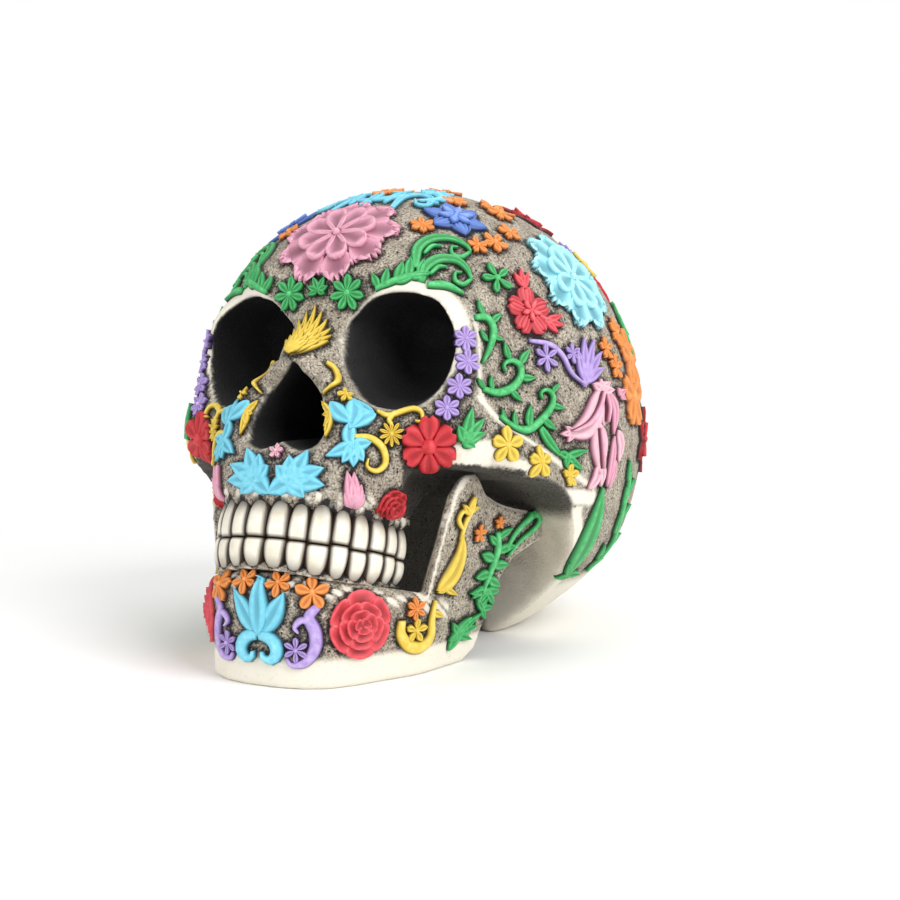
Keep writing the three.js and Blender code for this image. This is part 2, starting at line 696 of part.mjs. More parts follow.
// A raised band along a path that turns more and more, with a width along it.
function vine(length, turnStart, turnEnd, widthAt, stations = 9) {
  const path = [flat(0, 0)];
  let heading = Math.PI / 2;
  const fine = 60;
  for (let i = 0; i < fine; i++) {
    heading += radians(lerp(turnStart, turnEnd, i / fine)) / fine;
    const step = flat(Math.cos(heading), Math.sin(heading)).multiplyScalar(length / fine);
    path.push(path.at(-1).clone().add(step));
  }
  const centre = path.reduce((sum, p) => sum.add(p), flat(0, 0)).divideScalar(path.length);
  const bars = Array.from({ length: stations }, (_, s) => {
    const t = s / (stations - 1);
    const i = Math.min(Math.round(t * fine), fine - 1);
    const along = path[i + 1].clone().sub(path[i]).normalize();
    const middle = path[Math.round(t * fine)].clone().sub(centre);
    return { middle, side: flat(along.y, -along.x), width: widthAt(t) };
  });
  return { bars };
}

const leafWidth = (widest) => (t) => widest * Math.max(0.12, Math.sin(Math.PI * t ** 0.8));
const scrollWidth = (widest) => (t) => widest * (0.45 + 0.55 * Math.sin(Math.PI * Math.min(1, 0.25 + t)));
const beadWidth = (widest, beads) => (t) => widest * (0.44 + 0.58 * Math.abs(Math.sin(Math.PI * beads * t)));

// A bloom stands on its rim, its underside dished to clear the curve under it.
function bloomGeometry(surface, frame, turn, outline, height) {
  const place = (p, share, h) => lay(surface, frame, turn, [p.x * share, p.y * share, h]);
  const widest = Math.max(...outline.map((p) => p.length()));
  const steps = widest > WIDE_BLOOM ? [0.5, 1] : [1];
  const dish = Math.min(height / 2, (widest * widest) / (2 * DISH_RADIUS * steps.length));
  const under = steps.map((share) => outline.map((p) => place(p, share, share < 1 ? dish : 0)));
  const crest = (share) => height * (share < 1 ? 1.15 : 0.8);
  const over = steps.map((share) => outline.map((p) => place(p, share, crest(share))));
  return loft([...under, ...over.reverse()], place(flat(0, 0), 0, dish), place(flat(0, 0), 0, height * 1.3));
}

function vineGeometry(surface, frame, turn, bars, height) {
  const rings = bars.map(({ middle, side, width }) =>
    [[-0.5, 0], [-0.28, 1], [0.28, 1], [0.5, 0]].map(([across, up]) => {
      const p = middle.clone().addScaledVector(side, across * width);
      return lay(surface, frame, turn, [p.x, p.y, up * height]);
    }),
  );
  return loft(rings);
}

// A plain flower for cast relief: one point for each petal and one for each notch between them.
function posy(petals, radius, notch) {
  const outline = Array.from({ length: 2 * petals }, (_, i) =>
    flat(0, i % 2 ? radius * notch : radius).rotateAround(flat(0, 0), (Math.PI * i) / petals),
  );
  return { outline };
}

// Relief cast in one with the braincase: a low crown over an outline rooted in the surface.
function rootedSolid(surface, place, { outline }) {
  const frame = seatFrame(surface, ...place);
  const at = (p, height) => lay(surface, frame, 0, [p.x, p.y, height]);
  const ring = (height) => outline.map((p) => at(p, height));
  const middle = (height) => at(flat(0, 0), height);
  return toSolid(loft([ring(-ROOT_DEPTH), ring(RELIEF * 0.6)], middle(-ROOT_DEPTH), middle(RELIEF * 1.2)));
}

// Paints.
const CAST = "#b9ad9b";
const IVORY = "#e9e1cf";
const PINK = "#d487a6";
const CYAN = "#5cc4e0";
const GREEN = "#2fb457";
const RED = "#d8262f";
const PURPLE = "#a583d2";
const ORANGE = "#f08a2c";
const YELLOW = "#f0d24a";
const BLUE = "#3f78c8";

const birdTips = [[80, 6], [150, 6], [262, 11], [15, 7]];
// An ornament: its name, the surface it sits on, its place as bearing and rise, its turn, paint and shape.
const ornament = (name, on, place, turn, paint, shape) => ({ name, on, place, turn, paint, shape });

const midlineOrnaments = [
  ornament("forehead_dahlia", onCranium, [0, 55.4], 0, PINK, bloom(10, 18, 0.72)),
  ornament("crown_scroll", onCranium, [0, 78], 0, CYAN, fan(5, 200, 11, 0.5, 5)),
  ornament("glabella_lotus", onCranium, [0, 20], 0, YELLOW, fan(5, 130, 9, 0.62, 4)),
  ornament("chin_tulip", onJaw, [0, -1], 0, CYAN, fan(5, 170, 9.4, 0.45, 8)),
];
const pairedOrnaments = [
  ornament("crown_blossom", onCranium, [64, 58.5], 0, BLUE, bloom(6, 9, 0.6)),
  ornament("brow_spray", onCranium, [38, 41.5], -70, GREEN, vine(22, 10, -40, leafWidth(5))),
  ornament("brow_daisy", onCranium, [12.5, 33.5], 0, GREEN, bloom(6, 5, 0.6)),
  ornament("temple_daisy", onCranium, [66, 36], 0, GREEN, bloom(5, 5, 0.5)),
  ornament("temple_hibiscus", onCranium, [75.5, 26.5], 10, RED, bloom(5, 8.5, 0.55)),
  ornament("temple_dahlia", onCranium, [104, 32], 0, CYAN, bloom(9, 18, 0.72)),
  ornament("temple_lotus", onCranium, [91.5, 8.5], -20, PURPLE, fan(5, 190, 9, 0.6, 5)),
  ornament("temple_scroll", onCranium, [62.5, 11.5], 0, GREEN, vine(28, 30, 330, scrollWidth(3.6), 11)),
  ornament("arch_scroll", onCranium, [75, -5.5], 200, GREEN, vine(20, 0, 260, scrollWidth(3.2), 11)),
  ornament("orbit_blossoms", onCranium, [51, 5.5], 12, PURPLE, vine(19, 0, -30, beadWidth(4.6, 4), 17)),
  ornament("nose_bird", onCranium, [18.5, -4], 0, CYAN, burst(birdTips, 0.5, 0.3)),
  ornament("cheek_scroll", onCranium, [25.5, -12], 40, YELLOW, vine(12, 0, -240, scrollWidth(2.2))),
  ornament("cheek_flower", onCranium, [37.5, -11], 0, RED, bloom(8, 6.4, 0.78)),
  ornament("arch_blossom", onCranium, [58.5, -11.5], 0, YELLOW, bloom(5, 4.5, 0.6)),
  ornament("lip_leaf", onCranium, [6.6, -17], -20, CYAN, fan(5, 220, 6.5, 0.5, 5)),
  ornament("side_lily", onCranium, [93, -7], 0, PINK, fan(4, 150, 11, 0.4, 10)),
  ornament("side_leaf", onCranium, [107, -31], -15, GREEN, vine(26, -15, 15, leafWidth(8))),
  ornament("chin_star", onJaw, [19, 10], 0, ORANGE, bloom(5, 4, 0.5)),
  ornament("chin_scroll", onJaw, [18, -6], -160, PURPLE, vine(18, 0, 250, scrollWidth(2.8))),
  ornament("jaw_rose", onJaw, [38, -2.5], 0, RED, bloom(7, 8.5, 0.88)),
  ornament("jaw_crescent", onJaw, [66, -10], 160, YELLOW, vine(20, 60, 260, scrollWidth(3.6))),
  ornament("branch_scroll", onJaw, [85.5, 21.5], -25, YELLOW, vine(27, 60, -90, scrollWidth(3.6))),
  ornament("branch_leaf", onJaw, [114, 10], -30, GREEN, vine(22, -10, 20, leafWidth(8))),
];

// Flowers of the crown and the rear that stay one with the braincase: bearing and rise, then shape.
const midlineRelief = [
  [[180, 56], posy(6, 10, 0.7)],
  [[180, 34], posy(9, 17, 0.8)],
  [[180, 3], posy(5, 12, 0.7)],
  [[180, -20], posy(5, 7.5, 0.65)],
];
const pairedRelief = [
  [[112, 60], posy(5, 5.6, 0.6)],
  [[137, 50], posy(6, 9, 0.7)],
  [[146, 25], posy(6, 10, 0.85)],
  [[147, 3], posy(5, 11, 0.7)],
  [[126, -10], posy(6, 10, 0.75)],
  [[148, -16], posy(5, 5.8, 0.6)],
];

function withRelief(body) {
  const flowers = midlineRelief.map(([place, shape]) => rootedSolid(onCranium, place, shape));
  for (const [place, shape] of pairedRelief) {
    const left = rootedSolid(onCranium, place, shape);
    flowers.push(left, left.mirror([1, 0, 0]));
  }
  return flowers.reduce((joined, flower) => joined.add(flower), body);
}

// Assembly.

const root = new THREE.Group();
root.name = "decorated_skull";

function addPiece(name, geometry, paint) {
  const piece = new THREE.Mesh(geometry, new THREE.MeshStandardMaterial({ color: paint, roughness: 0.6 }));
  piece.name = name;
  root.add(piece);
}

function ornamentGeometry({ on, place, turn, shape }) {
  const frame = seatFrame(on, ...place);
  if (shape.outline) return bloomGeometry(on, frame, turn, shape.outline, RELIEF);
  return vineGeometry(on, frame, turn, shape.bars, RELIEF);
}

addPiece("cranium", toGeometry(withRelief(cranium)), CAST);
addPiece("lower_jaw", toGeometry(jaw), CAST);
addPiece("upper_tooth_row", toGeometry(upperRow), IVORY);
addPiece("lower_tooth_row", toGeometry(lowerRow), IVORY);
for (const piece of midlineOrnaments) addPiece(piece.name, ornamentGeometry(piece), piece.paint);
for (const piece of pairedOrnaments) {
  const left = ornamentGeometry(piece);
  addPiece(`${piece.name}_left`, left, piece.paint);
  addPiece(`${piece.name}_right`, bare(left.clone().scale(-1, 1, 1)), piece.paint);
}
for (const piece of root.children) piece.geometry.computeVertexNormals();

// The origin is moved to the middle of the base.
const box = new THREE.Box3().setFromObject(root);
const middle = box.getCenter(vec());
for (const piece of root.children) piece.geometry.translate(-middle.x, -middle.y, -box.min.z);

export default root;
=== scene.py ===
"""Dressed model of a painted cast skull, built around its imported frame.

Metres, +Z up. The face looks along -Y and the skull's own left is +X. Sizes in the classes are millimetres.
"""

import logging
import math
from dataclasses import dataclass, field, replace
from enum import Enum, auto
from functools import partial
from typing import Any, Callable, Iterable, Sequence, Union

import bpy
import numpy as np
from bpy.types import Material, Node, NodeSocket, NodeTree, Object
from mathutils import Matrix, Vector
from mathutils.bvhtree import BVHTree
from mathutils.kdtree import KDTree


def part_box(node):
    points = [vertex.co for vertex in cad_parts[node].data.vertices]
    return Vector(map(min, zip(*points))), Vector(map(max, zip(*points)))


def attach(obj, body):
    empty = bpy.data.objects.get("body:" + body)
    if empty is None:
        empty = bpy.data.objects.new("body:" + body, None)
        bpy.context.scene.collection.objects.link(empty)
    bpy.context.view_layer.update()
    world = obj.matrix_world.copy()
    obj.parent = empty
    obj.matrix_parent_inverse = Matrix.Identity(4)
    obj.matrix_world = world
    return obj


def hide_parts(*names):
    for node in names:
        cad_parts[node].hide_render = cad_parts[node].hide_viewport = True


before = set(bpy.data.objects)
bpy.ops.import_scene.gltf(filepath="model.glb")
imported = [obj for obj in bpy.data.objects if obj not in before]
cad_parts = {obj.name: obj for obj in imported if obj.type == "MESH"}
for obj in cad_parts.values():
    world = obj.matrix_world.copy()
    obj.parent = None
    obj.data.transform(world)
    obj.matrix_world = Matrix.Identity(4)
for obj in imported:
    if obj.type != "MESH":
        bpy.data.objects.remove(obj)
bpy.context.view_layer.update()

LOG = logging.getLogger("skull")
MM = 0.001
BODY = "root"
SINK = 0.9
SIDES = {"left": 1.0, "right": -1.0}
HALF = 0.5
BITE_TILT = 15.0
BITE_Z = 42.0
LINE_STEPS = 64
SPAN_STEPS = 16

Point = tuple[float, float]
Place = tuple[float, float, float]
Ramp = tuple[float, float]
Array = np.ndarray


# Small helpers.


def smooth(low: float, high: float, value: Array) -> Array:
    """A soft step that runs from 0 at low to 1 at high.

    Args:
        low: Where the step starts.
        high: Where it ends; it may lie below low for a falling step.
        value: The numbers to step.

    Returns:
        Numbers from 0 to 1.
    """
    t = np.clip((value - low) / (high - low), 0.0, 1.0)
    return t * t * (3.0 - 2.0 * t)


def linear(code: str) -> tuple[float, float, float, float]:
    """Turns an sRGB hex code into a linear colour.

    Args:
        code: A code such as "#a29a84".

    Returns:
        Red, green, blue and alpha.
    """
    shares = [int(code[i : i + 2], 16) / 255.0 for i in (1, 3, 5)]
    light = [c / 12.92 if c <= 0.04045 else ((c + 0.055) / 1.055) ** 2.4 for c in shares]
    return (light[0], light[1], light[2], 1.0)


def coordinates(obj: Object) -> Array:
    """Reads the places of a mesh's vertices, one row each."""
    flat = np.empty(len(obj.data.vertices) * 3)
    obj.data.vertices.foreach_get("co", flat)
    return flat.reshape(-1, 3)


def set_coordinates(obj: Object, places: Array) -> None:
    """Writes the places of a mesh's vertices."""
    obj.data.vertices.foreach_set("co", np.ascontiguousarray(places, float).ravel())
    obj.data.update()


def set_attribute(obj: Object, name: str, values: Array) -> None:
    """Stores one number for each vertex under a name that the finishes read."""
    attribute = obj.data.attributes.get(name) or obj.data.attributes.new(name, "FLOAT", "POINT")
    attribute.data.foreach_set("value", np.asarray(values, np.float32))


def get_attribute(obj: Object, name: str) -> Array:
    """Reads the numbers stored for the vertices under a name."""
    values = np.empty(len(obj.data.vertices), np.float32)
    obj.data.attributes[name].data.foreach_get("value", values)
    return values


def select_only(*objects: Object) -> None:
    """Selects these objects and no others, the first as the active one."""
    bpy.ops.object.select_all(action="DESELECT")
    for obj in objects:
        obj.select_set(True)
    bpy.context.view_layer.objects.active = objects[0]


def join(objects: Sequence[Object], name: str) -> Object:
    """Joins meshes into one object.

    Args:
        objects: The meshes, at least one.
        name: The joined object's name.

    Returns:
        The joined object.
    """
    select_only(*objects)
    if len(objects) > 1:
        bpy.ops.object.join()
    joined = bpy.context.view_layer.objects.active
    joined.name = name
    joined.data.name = name
    return joined


def apply_modifier(obj: Object, kind: str, **settings: Any) -> None:
    """Adds a modifier to a mesh and applies it.

    Args:
        obj: The mesh.
        kind: The modifier's type.
        **settings: Its properties.
    """
    select_only(obj)
    modifier = obj.modifiers.new(kind.title(), kind)
    for key, value in settings.items():
        setattr(modifier, key, value)
    bpy.ops.object.modifier_apply(modifier=modifier.name)


def edit_mesh(*steps: Callable[[], Any]) -> None:
    """Runs steps on all of the active mesh in edit mode."""
    bpy.ops.object.mode_set(mode="EDIT")
    bpy.ops.mesh.select_all(action="SELECT")
    for step in steps:
        step()
    bpy.ops.object.mode_set(mode="OBJECT")


def nearest_distance(points: Array, targets: Array, far: float) -> Array:
    """Distance from each point to the nearest target.

    Args:
        points: Places to measure from.
        targets: Places to measure to; none gives the far distance everywhere.
        far: The most that is told apart.

    Returns:
        One distance for each point.
    """
    result = np.full(len(points), far)
    if not len(targets):
        return result
    tree = KDTree(len(targets))
    for i, place in enumerate(targets):
        tree.insert(place, i)
    tree.balance()
    low, high = targets.min(0) - far, targets.max(0) + far
    close = np.nonzero(((points > low) & (points < high)).all(1))[0]
    for i in close:
        result[i] = min(far, tree.find(points[i])[2])
    return result


# The reference view.


@dataclass(frozen=True)
class PhotoView:
    """The camera of the reference view, fitted to the skull's size."""

    azimuth: float = 27.919
    elevation: float = 4.464
    focal_px: float = 1341.65
    axis_px: Point = (384.60, 471.27)
    eye: Place = (203.99, -404.91, 89.41)
    frame_px: float = 900.0
    sensor: float = 36.0
    near_clip: float = 0.01

    def axes(self) -> tuple[Vector, Vector, Vector]:
        """Right, up and backward directions of the camera."""
        a, e = math.radians(self.azimuth), math.radians(self.elevation)
        back = Vector((math.sin(a) * math.cos(e), -math.cos(a) * math.cos(e), math.sin(e)))
        right = Vector((math.cos(a), math.sin(a), 0.0))
        return right, back.cross(right), back

    def origin(self) -> Vector:
        """The eye's place in metres."""
        return Vector(self.eye) * MM

    def ray(self, u: float, v: float) -> Vector:
        """Direction from the eye through a pixel of the reference view."""
        right, up, back = self.axes()
        across = (u - self.axis_px[0]) / self.focal_px
        rise = (self.axis_px[1] - v) / self.focal_px
        return (right * across + up * rise - back).normalized()

    def pixels(self, places: Array) -> tuple[Array, Array]:
        """Across and down pixels at which places, given in millimetres, are seen."""
        apart = places - np.array(self.eye)
        right, up, back = (apart @ np.array(axis) for axis in self.axes())
        return self.axis_px[0] - self.focal_px * right / back, self.axis_px[1] + self.focal_px * up / back

    def build(self) -> None:
        """Makes the scene's camera."""
        right, up, back = self.axes()
        data = bpy.data.cameras.new("reference_view")
        data.sensor_width = self.sensor
        data.lens = self.focal_px * self.sensor / self.frame_px
        data.shift_x = (self.frame_px / 2 - self.axis_px[0]) / self.frame_px
        data.shift_y = (self.axis_px[1] - self.frame_px / 2) / self.frame_px
        data.clip_start = self.near_clip
        camera = bpy.data.objects.new("reference_view", data)
        turn = Matrix((right, up, back)).transposed().to_4x4()
        camera.matrix_world = Matrix.Translation(self.origin()) @ turn
        bpy.context.scene.collection.objects.link(camera)
        bpy.context.scene.camera = camera


VIEW = PhotoView()


# Finishes.

# Sockets of a colour mix, which go by number because its other sockets share their names.
MIX_SHARE, MIX_BELOW, MIX_ABOVE, MIX_RESULT = 0, 6, 7, 2
WHITE = (1.0, 1.0, 1.0, 1.0)


def add_node(tree: NodeTree, kind: str, inputs: dict | None = None, **settings: Any) -> Node:
    """Adds a node with its settings and links.

    Args:
        tree: The material's node tree.
        kind: The node's type.
        inputs: Values, or sockets to link from, by socket name or number.
        **settings: The node's properties.

    Returns:
        The node.
    """
    node = tree.nodes.new(kind)
    for key, value in settings.items():
        setattr(node, key, value)
    for key, value in (inputs or {}).items():
        if isinstance(value, NodeSocket):
            tree.links.new(value, node.inputs[key])
        else:
            node.inputs[key].default_value = value
    return node


@dataclass(frozen=True)
class Grain:
    """An uneven pattern of a real grain size, spread from 0 to 1 between two of its levels."""

    size_mm: float
    detail: float
    low: float
    high: float

    def share(self, tree: NodeTree) -> NodeSocket:
        """The pattern's level at each place of the object."""
        place = add_node(tree, "ShaderNodeTexCoord").outputs["Object"]
        noise = {"Vector": place, "Scale": 1.0 / (self.size_mm * MM), "Detail": self.detail}
        level = add_node(tree, "ShaderNodeTexNoise", noise).outputs["Fac"]
        spread = {"Value": level, "From Min": self.low, "From Max": self.high}
        return add_node(tree, "ShaderNodeMapRange", spread).outputs["Result"]


class Finish:
    """A finish with a node material that is made once."""

    name: str

    def material(self) -> Material:
        """The finish's material, made on first use."""
        made = bpy.data.materials.get(self.name)
        if made:
            return made
        made = bpy.data.materials.new(self.name)
        made.use_nodes = True
        made.node_tree.nodes.clear()
        shader = self.shade(made.node_tree)
        add_node(made.node_tree, "ShaderNodeOutputMaterial", {"Surface": shader})
        return made

    def shade(self, tree: NodeTree) -> NodeSocket:
        """Lays out the nodes and returns the surface socket."""
        raise NotImplementedError

    @staticmethod
    def coats(tree: NodeTree, base: Any, *layers: tuple[Any, Any]) -> NodeSocket:
        """Lays coats of colour over a base.

        Args:
            tree: The material's node tree.
            base: The colour below.
            *layers: For each coat, the share that it covers and its colour.

        Returns:
            The colour on top.
        """
        for share, colour in layers:
            inputs = {MIX_SHARE: share, MIX_BELOW: base, MIX_ABOVE: colour}
            base = add_node(tree, "ShaderNodeMix", inputs, data_type="RGBA").outputs[MIX_RESULT]
        return base

    def dress(self, obj: Object) -> None:
        """Gives an object this finish all over."""
        obj.data.materials.clear()
        obj.data.materials.append(self.material())


@dataclass(frozen=True)
class AntiquedResin(Finish):
    """Cast polyresin, stippled in the mould, brushed taupe and wiped with a dark wash that stays low.

    To the eye it is dry and dull, with dark pits, a dark line of wash and painted shade round each ornament,
    painted shade in the pockets and the hollow, and pale rims.
    """

    name: str = "antiqued_cast_resin"
    light: str = "#e4dac7"
    middle: str = "#9d917e"
    dark: str = "#55493d"
    # Dark brown of the wash and the specks, also used for painted shade round the ornaments.
    wash: str = "#120d0a"
    cream: str = "#e9e3d4"
    flank: str = "#d3c8b6"
    # Black of the sockets and the nose, also used for painted shade in the pockets, the hollow and on the
    # jaw's inner faces.
    black_and_shade: str = "#111113"
    # The stipple is about two pixels wide in the reference view, the finest that shows there.
    stipple: Grain = Grain(0.62, 3.0, 0.3, 0.7)
    patch: Grain = Grain(6.0, 4.0, 0.36, 0.64)
    speck: Grain = Grain(1.054, 1.0, 0.6, 0.72)
    evening: float = 0.2
    clouding: float = 0.36
    wash_gain: float = 1.7
    wash_break: float = 0.55
    pit_mm: float = 0.4
    pit_strength: float = 0.7
    roughness: float = 0.72
    ior: float = 1.5

    def shade(self, tree: NodeTree) -> NodeSocket:
        """Stippled ground, then wash with painted shade, bare flank, cream, and black that is partly paint and
        partly painted shade, each where its numbers say.
        """
        stipple, patch, speck = (grain.share(tree) for grain in (self.stipple, self.patch, self.speck))
        stored = {
            name: add_node(tree, "ShaderNodeAttribute", attribute_name=name).outputs["Fac"]
            for name in ("wash", "flank", "cream", "black_and_shade")
        }
        bare = add_node(tree, "ShaderNodeMath", {0: 1.0, 1: stored["cream"]}, operation="SUBTRACT").outputs[0]
        gains = (
            (patch, self.clouding),
            (stipple, self.wash_break),
            (stored["wash"], self.wash_gain),
            (stipple, bare),
        )
        cloud, broken, edge, pits = (
            add_node(tree, "ShaderNodeMath", {0: level, 1: gain}, operation="MULTIPLY").outputs[0]
            for level, gain in gains
        )
        clamped = {"operation": "SUBTRACT", "use_clamp": True}
        # Dark wash round each ornament, which is also painted shade where the ornament meets the ground,
        # broken by the stipple.
        low = add_node(tree, "ShaderNodeMath", {0: edge, 1: broken}, **clamped).outputs[0]
        ground = self.coats(
            tree,
            linear(self.dark),
            (stipple, linear(self.light)),
            (self.evening, linear(self.middle)),
            (cloud, linear(self.dark)),
            (speck, linear(self.wash)),
            (low, linear(self.wash)),
            (stored["flank"], self.coats(tree, linear(self.flank), (patch, linear(self.light)))),
            (stored["cream"], self.coats(tree, linear(self.cream), (speck, linear(self.light)))),
            # Black paint, and painted shade in the pockets, the hollow and on the jaw's inner faces.
            (stored["black_and_shade"], linear(self.black_and_shade)),
        )
        bump = {"Height": pits, "Strength": self.pit_strength, "Distance": self.pit_mm * MM}
        normal = add_node(tree, "ShaderNodeBump", bump).outputs["Normal"]
        surface = {"Base Color": ground, "Roughness": self.roughness, "IOR": self.ior, "Normal": normal}
        return add_node(tree, "ShaderNodeBsdfPrincipled", surface).outputs["BSDF"]


@dataclass(frozen=True)
class AcrylicPaint(Finish):
    """Satin acrylic brushed over raised ornaments, with dark wash and painted shade in their grooves.

    To the eye it is bright and flat, paler along the crests, with a soft sheen and faint strokes.
    """

    name: str
    colour: str
    tint: str
    groove_colour: str
    stroke: Grain = Grain(1.6, 3.0, 0.3, 0.7)
    stroke_mm: float = 0.15
    stroke_strength: float = 0.25
    groove: Ramp = (0.25, 0.85)
    crest: Ramp = (0.3, 0.0)
    roughness: float = 0.5
    ior: float = 1.48

    def shade(self, tree: NodeTree) -> NodeSocket:
        """Paint with paler crests and darker grooves."""
        crease = add_node(tree, "ShaderNodeAttribute", attribute_name="crease").outputs["Fac"]
        stroke = self.stroke.share(tree)
        ranges = ({"Value": crease, "From Min": a, "From Max": b} for a, b in (self.groove, self.crest))
        # Grooves and the feet of the blades darken toward the groove colour as wash and painted shade.
        deep, crest = (add_node(tree, "ShaderNodeMapRange", spread).outputs[0] for spread in ranges)
        brushed = self.coats(tree, linear(self.colour), (stroke, linear(self.tint)))
        paint = self.coats(tree, linear(self.colour), (crest, brushed), (deep, linear(self.groove_colour)))
        bump = {"Height": stroke, "Strength": self.stroke_strength, "Distance": self.stroke_mm * MM}
        normal = add_node(tree, "ShaderNodeBump", bump).outputs["Normal"]
        surface = {"Base Color": paint, "Roughness": self.roughness, "IOR": self.ior, "Normal": normal}
        return add_node(tree, "ShaderNodeBsdfPrincipled", surface).outputs["BSDF"]


@dataclass(frozen=True)
class ToothIvory(Finish):
    """Ivory paint on cast teeth, rubbed with brown along the gums and in the gaps.

    To the eye it is warm and slightly glossy, pale on each crown's face and dark round it, where the brown is
    joined by painted shade toward the gum, in the gaps, at the bite and on the back.
    """

    name: str = "rubbed_tooth_ivory"
    colour: str = "#f4f0e2"
    mottled: str = "#e3d9c3"
    stain: str = "#3a2d22"
    mottle: Grain = Grain(4.0, 3.0, 0.35, 0.7)
    roughness: float = 0.42
    ior: float = 1.5

    def shade(self, tree: NodeTree) -> NodeSocket:
        """Ivory that falls to brown where the stain and painted shade are stored."""
        stain = add_node(tree, "ShaderNodeAttribute", attribute_name="stain").outputs["Fac"]
        mottled = (self.mottle.share(tree), linear(self.mottled))
        ivory = self.coats(tree, linear(self.colour), mottled, (stain, linear(self.stain)))
        surface = {"Base Color": ivory, "Roughness": self.roughness, "IOR": self.ior}
        return add_node(tree, "ShaderNodeBsdfPrincipled", surface).outputs["BSDF"]


@dataclass(frozen=True)
class StudioPaper(Finish):
    """Matt white background paper that fades to plain white away from the skull."""

    name: str = "studio_paper"
    colour: str = "#fdfdfc"
    fade_start: float = 0.16
    fade_end: float = 0.34
    roughness: float = 0.9

    def shade(self, tree: NodeTree) -> NodeSocket:
        """Paper round the skull, plain white beyond it for the camera."""
        place = add_node(tree, "ShaderNodeTexCoord").outputs["Object"]
        away = add_node(tree, "ShaderNodeVectorMath", {0: place}, operation="LENGTH").outputs["Value"]
        spread = {"Value": away, "From Min": self.fade_start, "From Max": self.fade_end}
        fade = add_node(tree, "ShaderNodeMapRange", spread).outputs["Result"]
        seen = add_node(tree, "ShaderNodeLightPath").outputs["Is Camera Ray"]
        share = add_node(tree, "ShaderNodeMath", {0: fade, 1: seen}, operation="MULTIPLY").outputs[0]
        surface = {"Base Color": linear(self.colour), "Roughness": self.roughness}
        paper = add_node(tree, "ShaderNodeBsdfPrincipled", surface).outputs["BSDF"]
        glow = add_node(tree, "ShaderNodeEmission", {"Color": WHITE, "Strength": 1.0}).outputs[0]
        return add_node(tree, "ShaderNodeMixShader", {0: share, 1: paper, 2: glow}).outputs[0]


class Paint(Enum):
    """The painter's pots, each with the slot name that it stands for."""

    PINK = AcrylicPaint("acrylic_pink", "#d998ae", "#ebb8c8", "#5c2a3c")
    BLUSH = AcrylicPaint("acrylic_blush", "#e3b1bf", "#f1d2d9", "#7a3c55")
    CYAN = AcrylicPaint("acrylic_cyan", "#6cc4dc", "#93e0ee", "#1a4a5c")
    # A paler copy of the cyan paint, painted light for the brightly lit temple dahlia.
    LIT_CYAN = AcrylicPaint("acrylic_lit_cyan", "#9fe2ec", "#c6f5f6", "#2b6f80")
    GREEN = AcrylicPaint("acrylic_green", "#2f9c52", "#66cf84", "#0a3317")
    RED = AcrylicPaint("acrylic_red", "#bd2029", "#d6444b", "#3d070a")
    ROSE = AcrylicPaint("acrylic_rose", "#dc464f", "#ee7880", "#6a1119")
    PURPLE = AcrylicPaint("acrylic_purple", "#a58ccb", "#c9b4e4", "#33234f")
    ORANGE = AcrylicPaint("acrylic_orange", "#dd8438", "#efa765", "#56260a")
    YELLOW = AcrylicPaint("acrylic_yellow", "#dcbb3c", "#ecd873", "#4a3608")
    BLUE = AcrylicPaint("acrylic_blue", "#5f83cf", "#88a6e6", "#182a5e")

    @property
    def slot(self) -> str:
        """The slot name that the pot stands for."""
        pot = {Paint.BLUSH: Paint.PINK, Paint.LIT_CYAN: Paint.CYAN, Paint.ROSE: Paint.RED}.get(self, self)
        return f"paint_{pot.name.lower()}"


# Relief shapes: blades, rings of blades and buttons, drawn flat and joined into motifs.

TIP_START = 0.6
CREASE_GAIN = 1.15
GRID_SLACK = 1e-4


class Profile(Enum):
    """How a blade's width runs from its root to its tip."""

    LEAF = auto()
    PETAL = auto()
    HEART = auto()
    JAGGED = auto()
    SCROLL = auto()

    def width(self, s: Array) -> Array:
        """Share of the full width at a share of the length."""
        if self is Profile.LEAF:
            return np.maximum(np.sin(np.pi * s**0.8) ** 0.85, 0.03)
        if self is Profile.SCROLL:
            return 0.22 + 0.78 * np.sin(np.pi * np.minimum(1.0, 0.18 + 0.8 * s))
        swell = 0.34 + 0.66 * np.sin(0.5 * np.pi * np.minimum(1.0, s / TIP_START)) ** 1.2
        sharp = 2.2 if self is Profile.PETAL else 5.0
        tip = np.clip((s - TIP_START) / (1.0 - TIP_START), 0.0, 1.0)
        return swell * np.sqrt(np.maximum(1.0 - tip**sharp, 0.04 if self is Profile.PETAL else 0.3))

    def reach(self, t: Array) -> Array:
        """Share of the length that the tip keeps at a place across."""
        if self is Profile.HEART:
            return 1.0 - 0.16 * np.exp(-((t / 0.3) ** 2)) - 0.1 * t**4
        if self is Profile.JAGGED:
            return 0.9 + 0.1 * np.cos(3.0 * np.pi * t) - 0.14 * np.abs(t) ** 3
        return np.ones_like(t)


class Section(Enum):
    """How a blade's height runs across it."""

    DOME = auto()
    CUP = auto()
    GROOVE = auto()
    FLUTE = auto()
    VEIN = auto()

    def level(self, t: Array, s: Array) -> Array:
        """Share of the full height at a place across and along."""
        dome = 0.3 + 0.7 * np.sqrt(np.maximum(1.0 - t * t, 0.0))
        if self is Section.CUP:
            rim = np.maximum(np.abs(t), smooth(0.55, 1.0, s) * 0.95)
            return 0.42 + 0.58 * rim**2.0
        if self is Section.GROOVE:
            return dome - 0.75 * np.exp(-((t / 0.17) ** 2)) * np.sin(np.pi * s) ** 0.4
        if self is Section.FLUTE:
            return dome * (0.72 + 0.28 * np.cos(5.0 * np.pi * t))
        if self is Section.VEIN:
            rib = 0.4 * np.exp(-((t / 0.16) ** 2))
            return 0.3 + 0.6 * (1.0 - t * t) - rib + 0.1 * np.cos(2 * np.pi * (4 * s - 1.2 * np.abs(t)))
        return dome


